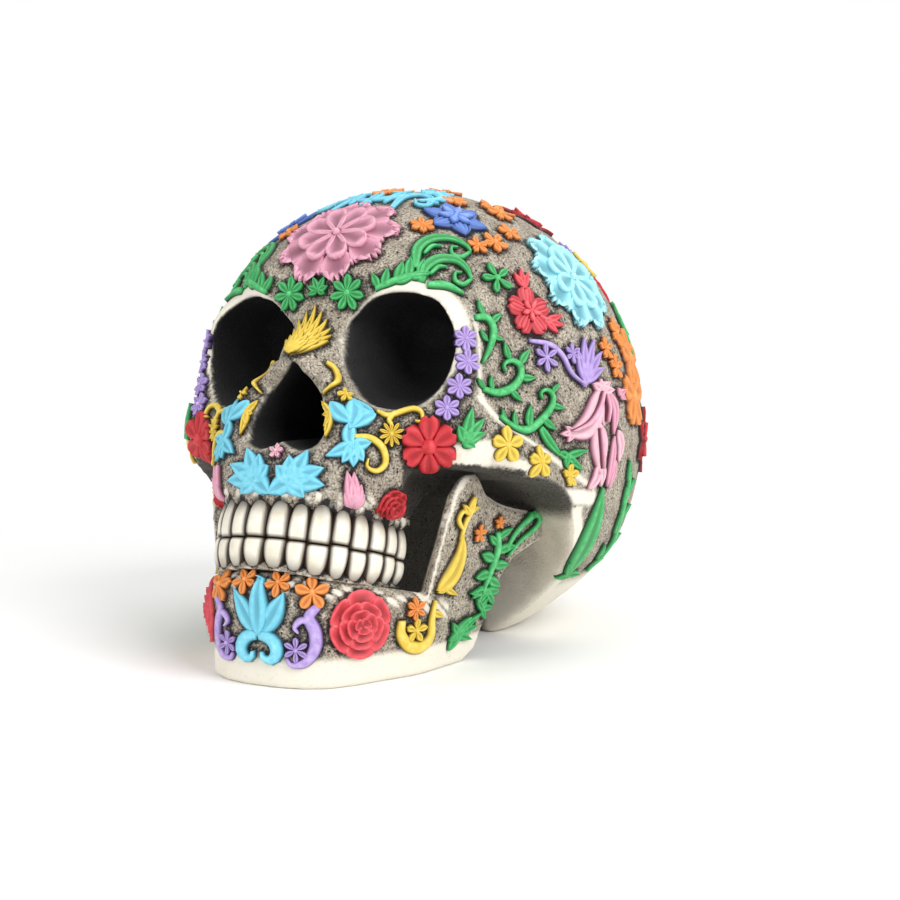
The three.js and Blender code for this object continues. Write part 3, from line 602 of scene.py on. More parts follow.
@dataclass(frozen=True)
class Blade:
    """One raised stroke: a petal, leaf or scroll, with a skirt that sinks into the ground.

    Either a heading, bend and curl give its middle line, or a path of points does.
    """

    length: float
    width: float
    heading: float = 90.0
    root: float = 0.0
    at: Point = (0.0, 0.0)
    bend: float = 0.0
    curl: float = 0.0
    path: tuple[Point, ...] = ()
    profile: Profile = Profile.LEAF
    section: Section = Section.DOME
    height: float = 1.6
    lift: float = 0.0
    slope: Ramp = (0.75, 1.0)
    rows: int = 13
    columns: int = 9

    def middle_line(self) -> Array:
        """Points along the middle, evenly spaced by share of the length."""
        if self.path:
            return spline(np.array(self.path, float), LINE_STEPS)
        s = np.linspace(0.0, 1.0, LINE_STEPS + 1)
        angles = np.radians(self.heading + self.bend * s + self.curl * s**3)
        steps = np.stack([np.cos(angles), np.sin(angles)], 1)[:-1] * self.length / LINE_STEPS
        start = np.array(self.at) + self.root * np.array(
            [math.cos(math.radians(self.heading)), math.sin(math.radians(self.heading))]
        )
        return np.vstack([start, start + np.cumsum(steps, 0)])

    def build(self) -> Object:
        """Models the blade from a grid, lying flat, and closes it underneath.

        Returns:
            The blade, in metres.
        """
        bpy.ops.mesh.primitive_grid_add(x_subdivisions=self.columns, y_subdivisions=self.rows, size=2)
        blade = bpy.context.view_layer.objects.active
        grid = coordinates(blade)
        inner_x, inner_y = 1.0 - 2.0 / self.columns, 1.0 - 2.0 / self.rows
        skirt = (np.abs(grid[:, 0]) > inner_x + GRID_SLACK) | (np.abs(grid[:, 1]) > inner_y + GRID_SLACK)
        t = np.clip(grid[:, 0] / inner_x, -1.0, 1.0)
        s = np.clip(0.5 + 0.5 * grid[:, 1] / inner_y, 0.0, 1.0)
        line = self.middle_line()
        along = np.gradient(line, axis=0)
        along /= np.maximum(np.linalg.norm(along, axis=1, keepdims=True), 1e-9)
        where = s * (1.0 - s**2 * (1.0 - self.profile.reach(t))) * (len(line) - 1)
        knots = np.arange(len(line))
        centre = np.stack([np.interp(where, knots, line[:, k]) for k in (0, 1)], 1)
        ahead = np.stack([np.interp(where, knots, along[:, k]) for k in (0, 1)], 1)
        half = 0.5 * self.width * self.profile.width(s) * t
        level = self.section.level(t, s)
        rise = self.slope[0] + (self.slope[1] - self.slope[0]) * s
        height = self.lift + self.height * level * rise
        places = np.empty_like(grid)
        places[:, 0] = centre[:, 0] + ahead[:, 1] * half
        places[:, 1] = centre[:, 1] - ahead[:, 0] * half
        places[:, 2] = np.where(skirt, -SINK, height)
        set_coordinates(blade, places * MM)
        # Low parts of a blade and its sunken skirt are stored as crease, which the paint darkens as wash and
        # painted shade.
        crease = np.clip(CREASE_GAIN - CREASE_GAIN * level, 0.0, 1.0)
        set_attribute(blade, "crease", np.where(skirt, 1.0, crease))
        edit_mesh(
            bpy.ops.mesh.flip_normals,
            bpy.ops.mesh.region_to_loop,
            bpy.ops.mesh.edge_face_add,
            partial(bpy.ops.mesh.select_all, action="SELECT"),
            partial(bpy.ops.mesh.normals_make_consistent, inside=False),
        )
        return blade


def spline(knots: Array, fine: int) -> Array:
    """A smooth line through points, evenly spaced along its length.

    Args:
        knots: The points it passes through.
        fine: How many steps it has.

    Returns:
        fine + 1 points.
    """
    ends = np.vstack([2 * knots[0] - knots[1], knots, 2 * knots[-1] - knots[-2]])
    line = []
    for a, b, c, d in zip(ends, ends[1:], ends[2:], ends[3:]):
        for t in np.linspace(0.0, 1.0, SPAN_STEPS, endpoint=False):
            square = (2 * a - 5 * b + 4 * c - d) * t**2
            cube = (3 * b - a - 3 * c + d) * t**3
            line.append(0.5 * (2 * b + (c - a) * t + square + cube))
    line = np.array(line + [knots[-1]])
    reach = np.concatenate([[0.0], np.cumsum(np.linalg.norm(np.diff(line, axis=0), axis=1))])
    even = np.linspace(0.0, reach[-1], fine + 1)
    return np.stack([np.interp(even, reach, line[:, k]) for k in (0, 1)], 1)


@dataclass(frozen=True)
class Ring:
    """Blades that repeat evenly about the motif's centre."""

    blade: Blade
    count: int

    def build(self) -> Object:
        """Models one blade and turns copies of it about the centre."""
        ring = self.blade.build()
        turn = {"value": 2 * math.pi / self.count, "orient_axis": "Z", "center_override": (0, 0, 0)}
        steps = (bpy.ops.mesh.duplicate, partial(bpy.ops.transform.rotate, **turn))
        edit_mesh(*steps * (self.count - 1))
        return ring


@dataclass(frozen=True)
class Button:
    """A low dome, such as a flower's eye or a bead."""

    radius: float
    height: float = 1.6
    at: Point = (0.0, 0.0)
    lift: float = 0.0
    segments: int = 14
    rings: int = 8
    waist: float = 0.02
    crease: float = 0.7

    def build(self) -> Object:
        """Models the dome from a sphere with its lower half drawn flat under the ground."""
        bpy.ops.mesh.primitive_uv_sphere_add(segments=self.segments, ring_count=self.rings, radius=1.0)
        dome = bpy.context.view_layer.objects.active
        ball = coordinates(dome)
        low = ball[:, 2] < self.waist
        places = ball * self.radius
        places[:, :2] += np.array(self.at)
        places[:, 2] = np.where(low, -SINK, self.lift + ball[:, 2] * self.height)
        set_coordinates(dome, places * MM)
        # The dome's foot is stored as crease, which the paint darkens as wash and painted shade.
        set_attribute(dome, "crease", np.where(low, 1.0, np.clip(self.crease - ball[:, 2], 0.0, 1.0)))
        return dome


Part = Union[Blade, Ring, Button]
Motif = tuple[Part, ...]


def build_motif(motif: Motif, name: str) -> Object:
    """Models a motif's parts and joins them, lying flat about the origin."""
    return join([part.build() for part in motif], name)


# Where a motif sits.


@dataclass(frozen=True)
class Seat:
    """A place on the ground with its own axes."""

    origin: Vector
    across: Vector
    up: Vector
    out: Vector

    def local(self, u: float, v: float) -> Point:
        """Where a pixel of the reference view falls on the seat's plane, in millimetres."""
        eye, ray = VIEW.origin(), VIEW.ray(u, v)
        reach = (self.origin - eye).dot(self.out) / ray.dot(self.out)
        offset = eye + ray * reach - self.origin
        return (offset.dot(self.across) / MM, offset.dot(self.up) / MM)


class Ground:
    """A cast surface that ornaments are laid on."""

    DROP = 7.0 * MM
    SPREAD = 2.5 * MM
    SPREAD_STEPS = 8
    GRAZING = 0.15

    def __init__(self, obj: Object, centre: Vector) -> None:
        """Prepares a mesh for laying.

        Args:
            obj: The cast surface.
            centre: The point that bearings and rises are seen from.
        """
        self.obj = obj
        self.centre = centre
        self.tree = BVHTree.FromObject(obj, bpy.context.evaluated_depsgraph_get())

    def seat(self, start: Vector, ray: Vector, upright: Vector) -> Seat:
        """The seat where a ray first meets the surface.

        Args:
            start: Where the ray starts.
            ray: Its direction.
            upright: What the seat's up axis should lean towards.

        Returns:
            The seat.
        """
        place, out = self.tree.ray_cast(start, ray)[:2]
        if place is None:
            raise ValueError(f"no ground under the ray {tuple(start)} {tuple(ray)}")
        side = out.orthogonal().normalized()
        total = out.copy()
        for n in range(self.SPREAD_STEPS):
            turn = Matrix.Rotation(n * 2 * math.pi / self.SPREAD_STEPS, 3, out)
            total += self.tree.find_nearest(place + turn @ side * self.SPREAD)[1]
        out = total.normalized()
        up = (upright - out * upright.dot(out)).normalized()
        return Seat(place, up.cross(out), up, out)

    def lay(self, obj: Object, seat: Seat, turn: float) -> None:
        """Bends a flat motif onto the surface.

        Args:
            obj: The motif, lying flat about the origin.
            seat: Where it goes.
            turn: Its turn on the seat, in degrees.
        """
        flat = coordinates(obj)
        c, s = math.cos(math.radians(turn)), math.sin(math.radians(turn))
        laid = np.empty_like(flat)
        for i, (x, y, z) in enumerate(flat):
            level = seat.origin + seat.across * (x * c - y * s) + seat.up * (x * s + y * c)
            over = level + seat.out * self.DROP
            foot, normal = self.tree.ray_cast(over, -seat.out, 2 * self.DROP)[:2]
            if foot is None or normal.dot(seat.out) < self.GRAZING:
                foot, normal = over - seat.out * self.DROP, seat.out
            laid[i] = foot + (normal + seat.out).normalized() * z
        set_coordinates(obj, laid)


@dataclass(frozen=True)
class Pixel:
    """A place given by a pixel of the reference view."""

    u: float
    v: float

    def seat(self, ground: Ground) -> Seat:
        """The seat that the pixel looks at."""
        return ground.seat(VIEW.origin(), VIEW.ray(self.u, self.v), VIEW.axes()[1])


@dataclass(frozen=True)
class Direction:
    """A place given by its bearing, from the front to the left, and its rise from the ground's centre."""

    bearing: float
    rise: float
    steep: float = 75.0
    far: float = 250.0 * MM

    def seat(self, ground: Ground) -> Seat:
        """The seat in that direction."""
        b, r = math.radians(self.bearing), math.radians(self.rise)
        out = Vector((math.sin(b) * math.cos(r), -math.cos(b) * math.cos(r), math.sin(r)))
        upright = Vector((0, 0, 1)) if abs(self.rise) < self.steep else Vector((0, 1, 0))
        return ground.seat(ground.centre + out * self.far, -out, upright)


Spot = Union[Pixel, Direction]
Drawing = Union[Motif, Callable[[Seat], Motif]]


# Motifs. Their sizes are shares of a radius, a length or a width; heights and lifts are millimetres.

GROOVE = Section.GROOVE


def flower(count: int, radius: float, width: float, profile: Profile = Profile.PETAL) -> Motif:
    """A flower with one ring of grooved petals and a button.

    Args:
        count: How many petals.
        radius: From the middle to the tips.
        width: A petal's width.
        profile: A petal's outline.

    Returns:
        The flower's parts.
    """
    eye = radius * 0.22
    root = eye * 0.6
    blade = Blade(radius - root, width, root=root, profile=profile, section=GROOVE)
    return (Ring(blade, count), Button(eye, blade.height * 1.15))


def both(blade: Blade) -> Motif:
    """A blade and its mirror image beside it."""
    image = {"heading": 180 - blade.heading, "bend": -blade.bend, "curl": -blade.curl}
    return (blade, replace(blade, at=(-blade.at[0], blade.at[1]), **image))


def dahlia(outer: int, inner: int, radius: float) -> Motif:
    """A large flower: jagged outer petals under cupped inner ones.

    Args:
        outer: How many outer petals.
        inner: How many inner ones.
        radius: From the middle to the outer tips.

    Returns:
        The flower's parts.
    """
    under = Blade(radius * 0.6, radius * 0.53, root=radius * 0.4, profile=Profile.JAGGED, section=Section.CUP)
    over = Blade(radius * 0.56, radius * 0.34, root=radius * 0.06, profile=Profile.PETAL, section=Section.CUP)
    under = replace(under, height=1.7, rows=15, columns=13)
    over = replace(over, height=2.0, lift=0.7, slope=(0.4, 1.15), heading=90 + 180 / inner, rows=15)
    return (Ring(under, outer), Ring(over, inner), Button(radius * 0.07, 2.6))


def double_blossom(count: int, radius: float) -> Motif:
    """A pointed flower with a second, shorter ring on top."""
    under = Blade(radius * 0.85, radius * 0.72, root=radius * 0.15, section=Section.FLUTE, columns=13)
    over = Blade(radius * 0.5, radius * 0.34, heading=90 + 180 / count, root=radius * 0.08, lift=0.7)
    return (Ring(under, count), Ring(over, count), Button(radius * 0.13, 2.2))


def hibiscus(radius: float) -> Motif:
    """Broad notched petals with fluted faces."""
    petal = Blade(radius * 0.9, radius * 0.86, root=radius * 0.1, profile=Profile.HEART)
    petal = replace(petal, section=Section.FLUTE, columns=15, height=1.8)
    inner = Blade(radius * 0.42, radius * 0.26, heading=126, root=radius * 0.06, lift=0.8)
    return (Ring(petal, 5), Ring(inner, 5), Button(radius * 0.12, 2.6))


def rose(radius: float) -> Motif:
    """Cupped petals that close in round a bud."""
    rings = []
    for count, root, length, width, lift, turn in (
        (6, 0.42, 0.58, 0.95, 0.0, 0),
        (5, 0.2, 0.52, 0.8, 0.5, 40),
        (4, 0.06, 0.42, 0.62, 1.0, 15),
        (3, 0.0, 0.24, 0.36, 1.5, 70),
    ):
        blade = Blade(radius * length, radius * width, heading=90 + turn, root=radius * root, lift=lift)
        cup = replace(blade, profile=Profile.PETAL, section=Section.CUP, height=1.3, slope=(0.4, 1.1))
        rings.append(Ring(cup, count))
    return tuple(rings)


def fan(headings: Iterable[float], length: float, width: float, taper: float = 0.3, **blade: Any) -> Motif:
    """Grooved leaves that spread from one foot, the middle one longest.

    Args:
        headings: Where the leaves point, in degrees.
        length: The middle leaf's length.
        width: A leaf's width.
        taper: What the outermost leaf lacks of that length.
        **blade: Other sizes of each leaf.

    Returns:
        The leaves.
    """
    headings = sorted(headings)
    spread = max(abs(h - 90) for h in headings)
    shares = [1.0 - taper * abs(h - 90) / spread for h in headings]
    return tuple(Blade(length * s, width, h, section=GROOVE, **blade) for s, h in zip(shares, headings))


def acanthus(length: float, width: float, bend: float, lobes: int) -> Motif:
    """A bent leaf with side lobes along its rib.

    Args:
        length: From foot to tip.
        width: The leaf's width.
        bend: How far it turns, in degrees.
        lobes: How many lobes a side has.

    Returns:
        The leaf and its lobes.
    """
    rib = Blade(length, width * 0.5, heading=90, at=(0, -length / 2), bend=bend, section=Section.VEIN)
    line = rib.middle_line()
    parts: list[Part] = [rib]
    for n in range(lobes):
        share = 0.12 + 0.68 * n / max(lobes - 1, 1)
        place = tuple(line[int(share * (len(line) - 1))])
        for side in (1, -1):
            heading = 90 + bend * share + side * (52 - 14 * share)
            size = width * (0.72 - 0.3 * share)
            parts.append(Blade(size, size * 0.5, heading, at=place, bend=-side * 25, section=GROOVE))
    return tuple(parts)


def drawn(draw: Callable[..., Motif]) -> Callable[..., Callable[[Seat], Motif]]:
    """Lets a drawing be given its sizes first and its seat later."""
    return lambda *sizes, **settings: lambda seat: draw(seat, *sizes, **settings)


@drawn
def stem(
    seat: Seat, points: Sequence[Point], width: float, profile: Profile = Profile.SCROLL, **blade: Any
) -> Motif:
    """A raised line through pixels of the reference view."""
    path = tuple(seat.local(*p) for p in points)
    return (Blade(0.0, width, path=path, profile=profile, rows=4 * len(points) + 5, **blade),)


@drawn
def vine(seat: Seat, points: Sequence[Point], width: float, leaves: Sequence[Sequence[float]]) -> Motif:
    """A stem through pixels of the reference view, with side leaves.

    Args:
        seat: Where it is drawn.
        points: The stem's pixels.
        width: The stem's width.
        leaves: For each leaf, its pixel, its heading in degrees and its length.

    Returns:
        The stem and its leaves.
    """
    parts = list(stem(points, width, height=1.7)(seat))
    for u, v, heading, length in leaves:
        leaf = Blade(length, length * 0.48, heading, at=seat.local(u, v), section=GROOVE)
        parts.append(replace(leaf, height=1.5, rows=10))
    return tuple(parts)


@drawn
def strokes(seat: Seat, *lines: tuple[Sequence[Point], float], **blade: Any) -> Motif:
    """Several raised lines through pixels, each with its width."""
    return tuple(part for points, width in lines for part in stem(points, width, **blade)(seat))


def leaf_strokes(*lines: tuple[Sequence[Point], float]) -> Callable[[Seat], Motif]:
    """Several grooved leaves along pixels, each with its width."""
    return strokes(*lines, profile=Profile.LEAF, section=GROOVE)


@drawn
def lone_leaf(seat: Seat, u: float, v: float, heading: float, length: float, width: float) -> Motif:
    """A grooved leaf that starts at a pixel."""
    return (Blade(length, width, heading, at=seat.local(u, v), section=GROOVE),)


@drawn
def together(seat: Seat, *drawings: Drawing) -> Motif:
    """Several drawings on one seat."""
    return tuple(part for d in drawings for part in (d(seat) if callable(d) else d))


@drawn
def burst(seat: Seat, centre: Point, tips: Sequence[Point], width: float) -> Motif:
    """Grooved leaves that run from behind one pixel to the pixels of their tips.

    Args:
        seat: Where they are drawn.
        centre: The pixel that they spread from.
        tips: The pixels of their tips.
        width: A leaf's width.

    Returns:
        The leaves.
    """
    foot = np.array(seat.local(*centre))
    parts = []
    for tip in tips:
        end = np.array(seat.local(*tip))
        start = foot - 0.18 * (end - foot)
        path = (tuple(start), tuple((start + end) / 2), tuple(end))
        parts.append(Blade(0.0, width, path=path, section=GROOVE, height=1.7))
    return tuple(parts)


def tendril(length: float, width: float, bend: float, leaves: int) -> Motif:
    """A curling stem with leaves on its outer side.

    Args:
        length: The stem's length.
        width: Its width.
        bend: How far it curls, in degrees.
        leaves: How many leaves it has.

    Returns:
        The stem and its leaves.
    """
    line = Blade(length, width, heading=60 - bend / 3, at=(-length / 5, -length / 4))
    line = replace(line, bend=bend * 0.5, curl=bend * 0.7, profile=Profile.SCROLL, rows=22)
    points = line.middle_line()
    side = -math.copysign(1.0, bend)
    parts: list[Part] = [line]
    for n in range(leaves):
        share = 0.1 + 0.62 * n / max(leaves - 1, 1)
        place = tuple(points[int(share * (len(points) - 1))])
        heading = line.heading + line.bend * share + line.curl * share**3 + side * 50
        size = length * (0.24 - 0.08 * share)
        parts.append(Blade(size, size * 0.5, heading, at=place, section=GROOVE, rows=10))
    return tuple(parts)


@drawn
def flower_at(seat: Seat, u: float, v: float, count: int, radius: float, width: float) -> Motif:
    """A flower moved to a pixel, with its ring opened into single petals.

    Args:
        seat: Where it is drawn.
        u: Its pixel across.
        v: Its pixel down.
        count: How many petals.
        radius: From the middle to the tips.
        width: A petal's width.

    Returns:
        The petals and the button.
    """
    ring, button = flower(count, radius, width)
    turns = [ring.blade.heading + 360.0 * n / count for n in range(count)]
    at = seat.local(u, v)
    return tuple(replace(ring.blade, heading=h, at=at) for h in turns) + (replace(button, at=at),)


# Cast bodies.


@dataclass(frozen=True)
class FlowerBed:
    """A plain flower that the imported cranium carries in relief."""

    bearing: float
    rise: float
    petals: int
    radius: float
    notch: float
    paired: bool = True

    def seats(self, ground: Ground) -> list[Seat]:
        """The flower's seat, and its mirror image where it has one."""
        bearings = (self.bearing, -self.bearing) if self.paired else (self.bearing,)
        return [Direction(bearing, self.rise).seat(ground) for bearing in bearings]

    def edge(self, angle: Array) -> Array:
        """How far the outline reaches at an angle from upright."""
        share = np.abs((angle * self.petals / (2 * math.pi) + 0.5) % 1.0 - 0.5) * 2.0
        return self.radius * (1.0 - (1.0 - self.notch) * share)


RELIEF: tuple[FlowerBed, ...] = (
    FlowerBed(180, 56, 6, 10.0, 0.7, paired=False),
    FlowerBed(180, 34, 9, 17.0, 0.8, paired=False),
    FlowerBed(180, 3, 5, 12.0, 0.7, paired=False),
    FlowerBed(180, -20, 5, 7.5, 0.65, paired=False),
    FlowerBed(112, 60, 5, 5.6, 0.6),
    FlowerBed(137, 50, 6, 9.0, 0.7),
    FlowerBed(146, 25, 6, 10.0, 0.85),
    FlowerBed(147, 3, 5, 11.0, 0.7),
    FlowerBed(126, -10, 6, 10.0, 0.75),
    FlowerBed(148, -16, 5, 5.8, 0.6),
)


@dataclass(frozen=True)
class Socket:
    """An eye socket's place and mouth."""

    x: float = 26.0
    z: float = 94.0
    y: float = -60.6
    half_width: float = 16.25
    half_height: float = 15.75
    droop: float = 12.0
    splay: float = 6.0
    lift: float = 9.0
    corner: float = 2.3

    def turn(self, side: float) -> Array:
        """The turn from the skull's axes to those of a look straight into the socket."""
        splay = Matrix.Rotation(math.radians(side * self.splay), 3, "Z")
        return np.array(splay @ Matrix.Rotation(math.radians(self.lift), 3, "X"))

    def local(self, places: Array, side: float) -> Array:
        """Across, depth and rise of places in millimetres, seen straight into the socket."""
        turned = (places - np.array([side * self.x, self.y, self.z])) @ self.turn(side)
        a = math.radians(side * self.droop)
        x, z = turned[:, 0].copy(), turned[:, 2].copy()
        turned[:, 0] = x * math.cos(a) - z * math.sin(a)
        turned[:, 2] = x * math.sin(a) + z * math.cos(a)
        return turned

    def turned_back(self, local: Array, side: float) -> Array:
        """A move seen straight into the socket, turned back to the skull's axes."""
        a = math.radians(side * self.droop)
        level = local.copy()
        level[:, 0] = local[:, 0] * math.cos(a) + local[:, 2] * math.sin(a)
        level[:, 2] = local[:, 2] * math.cos(a) - local[:, 0] * math.sin(a)
        return level @ self.turn(side).T

    def level(self, local: Array) -> Array:
        """1 on the mouth's outline, less inside."""
        across = np.abs(local[:, 0] / self.half_width) ** self.corner
        return across + np.abs(local[:, 2] / self.half_height) ** self.corner


@dataclass
class Cast:
    """The cranium and the lower jaw as smooth castings.

    A ramp gives where a soft step starts and where it ends.
    """

    cranium_voxel: float = 1.18
    jaw_voxel: float = 0.75
    cranium_smoothing: int = 14
    jaw_smoothing: int = 8
    relief_smoothing: int = 4
    smoothing_factor: float = 0.5
    weld: float = 1e-6
    cranium_centre: Place = (0.0, -16.4, 80.0)
    jaw_centre: Place = (0.0, -49.5, 20.0)
    # The jaw's rear branch.
    branch_spread: float = 9.0
    branch_flare: float = 7.0
    branch_y: Ramp = (-42.0, -14.0)
    branch_z: Ramp = (24.0, 46.0)
    # The solid's plain flowers.
    relief_rim: float = 1.65
    relief_crest: float = 2.85
    relief_edge: float = 1.3
    relief_margin: float = 6.0
    # The dome.
    dome_drop: float = 2.2
    dome_z: Ramp = (116.0, 150.0)
    # The nose opening, its ridge and its apex.
    nasal_base_z: float = 66.0
    nasal_apex_z: float = 91.0
    nasal_half_width: float = 12.5
    nasal_knots: tuple[Point, ...] = ((0.0, 1.0), (0.35, 0.98), (0.6, 0.65), (1.0, 0.25))
    nasal_steps: int = 41
    front_half: float = 14.0
    front_below: float = 4.0
    front_above: float = 24.0
    front_slice: float = 0.9
    ridge_pinch: float = 0.6
    ridge_start: float = 1.0
    ridge_depth: Ramp = (14.0, 2.0)
    ridge_half: Ramp = (18.0, 10.0)
    ridge_foot_z: Ramp = (78.0, 84.0)
    ridge_top_z: Ramp = (106.0, 97.0)
    apex_pinch: float = 0.34
    apex_depth: Ramp = (20.0, 4.0)
    apex_half: Ramp = (20.0, 8.0)
    apex_foot_z: Ramp = (76.0, 88.0)
    apex_top_z: Ramp = (99.0, 92.0)
    # The inner corner of each eye socket.
    corner_angle: float = 212.0
    corner_fill: float = 0.2
    corner_depth: float = 30.0
    corner_turn: Ramp = (50.0, 8.0)
    corner_inner: Ramp = (0.35, 0.8)
    corner_outer: Ramp = (1.5, 1.1)
    socket: Socket = field(default_factory=Socket)
    rest: Array = field(init=False)
    cranium: Ground = field(init=False)
    jaw: Ground = field(init=False)

    def refine(self, node: str, voxel: float, smoothing: int) -> Object:
        """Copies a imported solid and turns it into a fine, soft-edged skin.

        Args:
            node: The solid's name.
            voxel: The skin's mesh size.
            smoothing: How many times it is smoothed.

        Returns:
            The skin, in place of the solid.
        """
        skin = bpy.data.objects.new(f"{node}_skin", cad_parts[node].data.copy())
        bpy.context.scene.collection.objects.link(skin)
        select_only(skin)
        edit_mesh(partial(bpy.ops.mesh.remove_doubles, threshold=self.weld))
        apply_modifier(skin, "REMESH", mode="VOXEL", voxel_size=voxel * MM)
        apply_modifier(skin, "SMOOTH", factor=self.smoothing_factor, iterations=smoothing)
        select_only(skin)
        bpy.ops.object.shade_smooth()
        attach(skin, BODY)
        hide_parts(node)
        return skin

    def build(self) -> None:
        """Makes both castings and readies them for ornaments."""
        skin = self.refine("cranium", self.cranium_voxel, self.cranium_smoothing)
        self.flatten_relief(skin)
        self.shape_face(skin)
        self.cranium = Ground(skin, Vector(self.cranium_centre) * MM)
        skin = self.refine("lower_jaw", self.jaw_voxel, self.jaw_smoothing)
        places = coordinates(skin) / MM
        broad = smooth(*self.branch_y, places[:, 1]) * smooth(*self.branch_z, places[:, 2])
        places[:, 1] += self.branch_spread * broad
        places[:, 0] += self.branch_flare * broad * np.sign(places[:, 0])
        set_coordinates(skin, places * MM)
        self.jaw = Ground(skin, Vector(self.jaw_centre) * MM)

    def nose_front(self, places: Array) -> Array:
        """How far forward the nose reaches at the height of each place."""
        middle = places[np.abs(places[:, 0]) < self.front_half]
        levels = np.arange(self.nasal_base_z - self.front_below, self.nasal_apex_z + self.front_above, 1.0)
        front = [middle[np.abs(middle[:, 2] - level) < self.front_slice, 1].min() for level in levels]
        return np.interp(places[:, 2], levels, front)

    def nose_half(self, places: Array) -> Array:
        """Half the width of the nose opening at the height of each place, nothing above its apex."""
        t = np.linspace(0.0, 1.0, self.nasal_steps)
        weights = np.stack([(1 - t) ** 3, 3 * t * (1 - t) ** 2, 3 * t**2 * (1 - t), t**3], 1)
        across, rise = (weights @ np.array(self.nasal_knots)).T
        level = (places[:, 2] - self.nasal_base_z) / (self.nasal_apex_z - self.nasal_base_z)
        return self.nasal_half_width * np.interp(level, rise[::-1], across[::-1])

    def flatten_relief(self, skin: Object) -> None:
        """Takes the solid's plain flowers down to the ground, where modelled ones are laid instead."""
        ground = Ground(skin, Vector(self.cranium_centre) * MM)
        places = coordinates(skin)
        moves = np.zeros_like(places)
        for flower_bed in RELIEF:
            for seat in flower_bed.seats(ground):
                apart = places - np.array(seat.origin)
                u, v = apart @ np.array(seat.across) / MM, apart @ np.array(seat.up) / MM
                reach, edge = np.hypot(u, v), flower_bed.edge(np.arctan2(u, v))
                near = np.linalg.norm(apart, axis=1) < (flower_bed.radius + self.relief_margin) * MM
                outward = np.minimum(reach / edge, 1.0)
                height = self.relief_crest + (self.relief_rim - self.relief_crest) * outward
                height *= smooth(self.relief_edge, -self.relief_edge, reach - edge) * near
                moves -= height[:, None] * MM * np.array(seat.out)
        set_coordinates(skin, places + moves)
        select_only(skin)
        apply_modifier(skin, "SMOOTH", factor=self.smoothing_factor, iterations=self.relief_smoothing)

    def shape_face(self, skin: Object) -> None:
        """Pinches the ridge of the nose, rounds the inner corner of each eye socket and eases the dome."""
        self.rest = coordinates(skin) / MM
        places = self.rest.copy()
        places[:, 2] -= self.dome_drop * smooth(*self.dome_z, places[:, 2])
        behind = places[:, 1] - self.nose_front(places)
        pinch = smooth(*self.ridge_depth, behind) * smooth(*self.ridge_half, np.abs(places[:, 0]))
        pinch *= smooth(*self.ridge_foot_z, places[:, 2]) * smooth(*self.ridge_top_z, places[:, 2])
        narrow = smooth(*self.apex_foot_z, places[:, 2]) * smooth(*self.apex_top_z, places[:, 2])
        narrow *= smooth(*self.apex_depth, behind)
        places[:, 0] *= 1.0 - self.apex_pinch * narrow * smooth(*self.apex_half, np.abs(places[:, 0]))
        beyond = np.maximum(np.abs(places[:, 0]) - self.nose_half(places) - self.ridge_start, 0.0)
        places[:, 0] -= np.sign(places[:, 0]) * self.ridge_pinch * pinch * beyond
        for side in SIDES.values():
            local = self.socket.local(self.rest, side)
            turn = np.degrees(np.arctan2(local[:, 2], side * local[:, 0])) % 360.0
            reach = np.hypot(local[:, 0] / self.socket.half_width, local[:, 2] / self.socket.half_height)
            band = smooth(*self.corner_inner, reach) * smooth(*self.corner_outer, reach)
            band *= np.abs(local[:, 1]) < self.corner_depth
            fill = self.corner_fill * band * smooth(*self.corner_turn, np.abs(turn - self.corner_angle))
            local[:, 1] = 0.0
            places -= self.socket.turned_back(local * fill[:, None], side)
        set_coordinates(skin, places * MM)


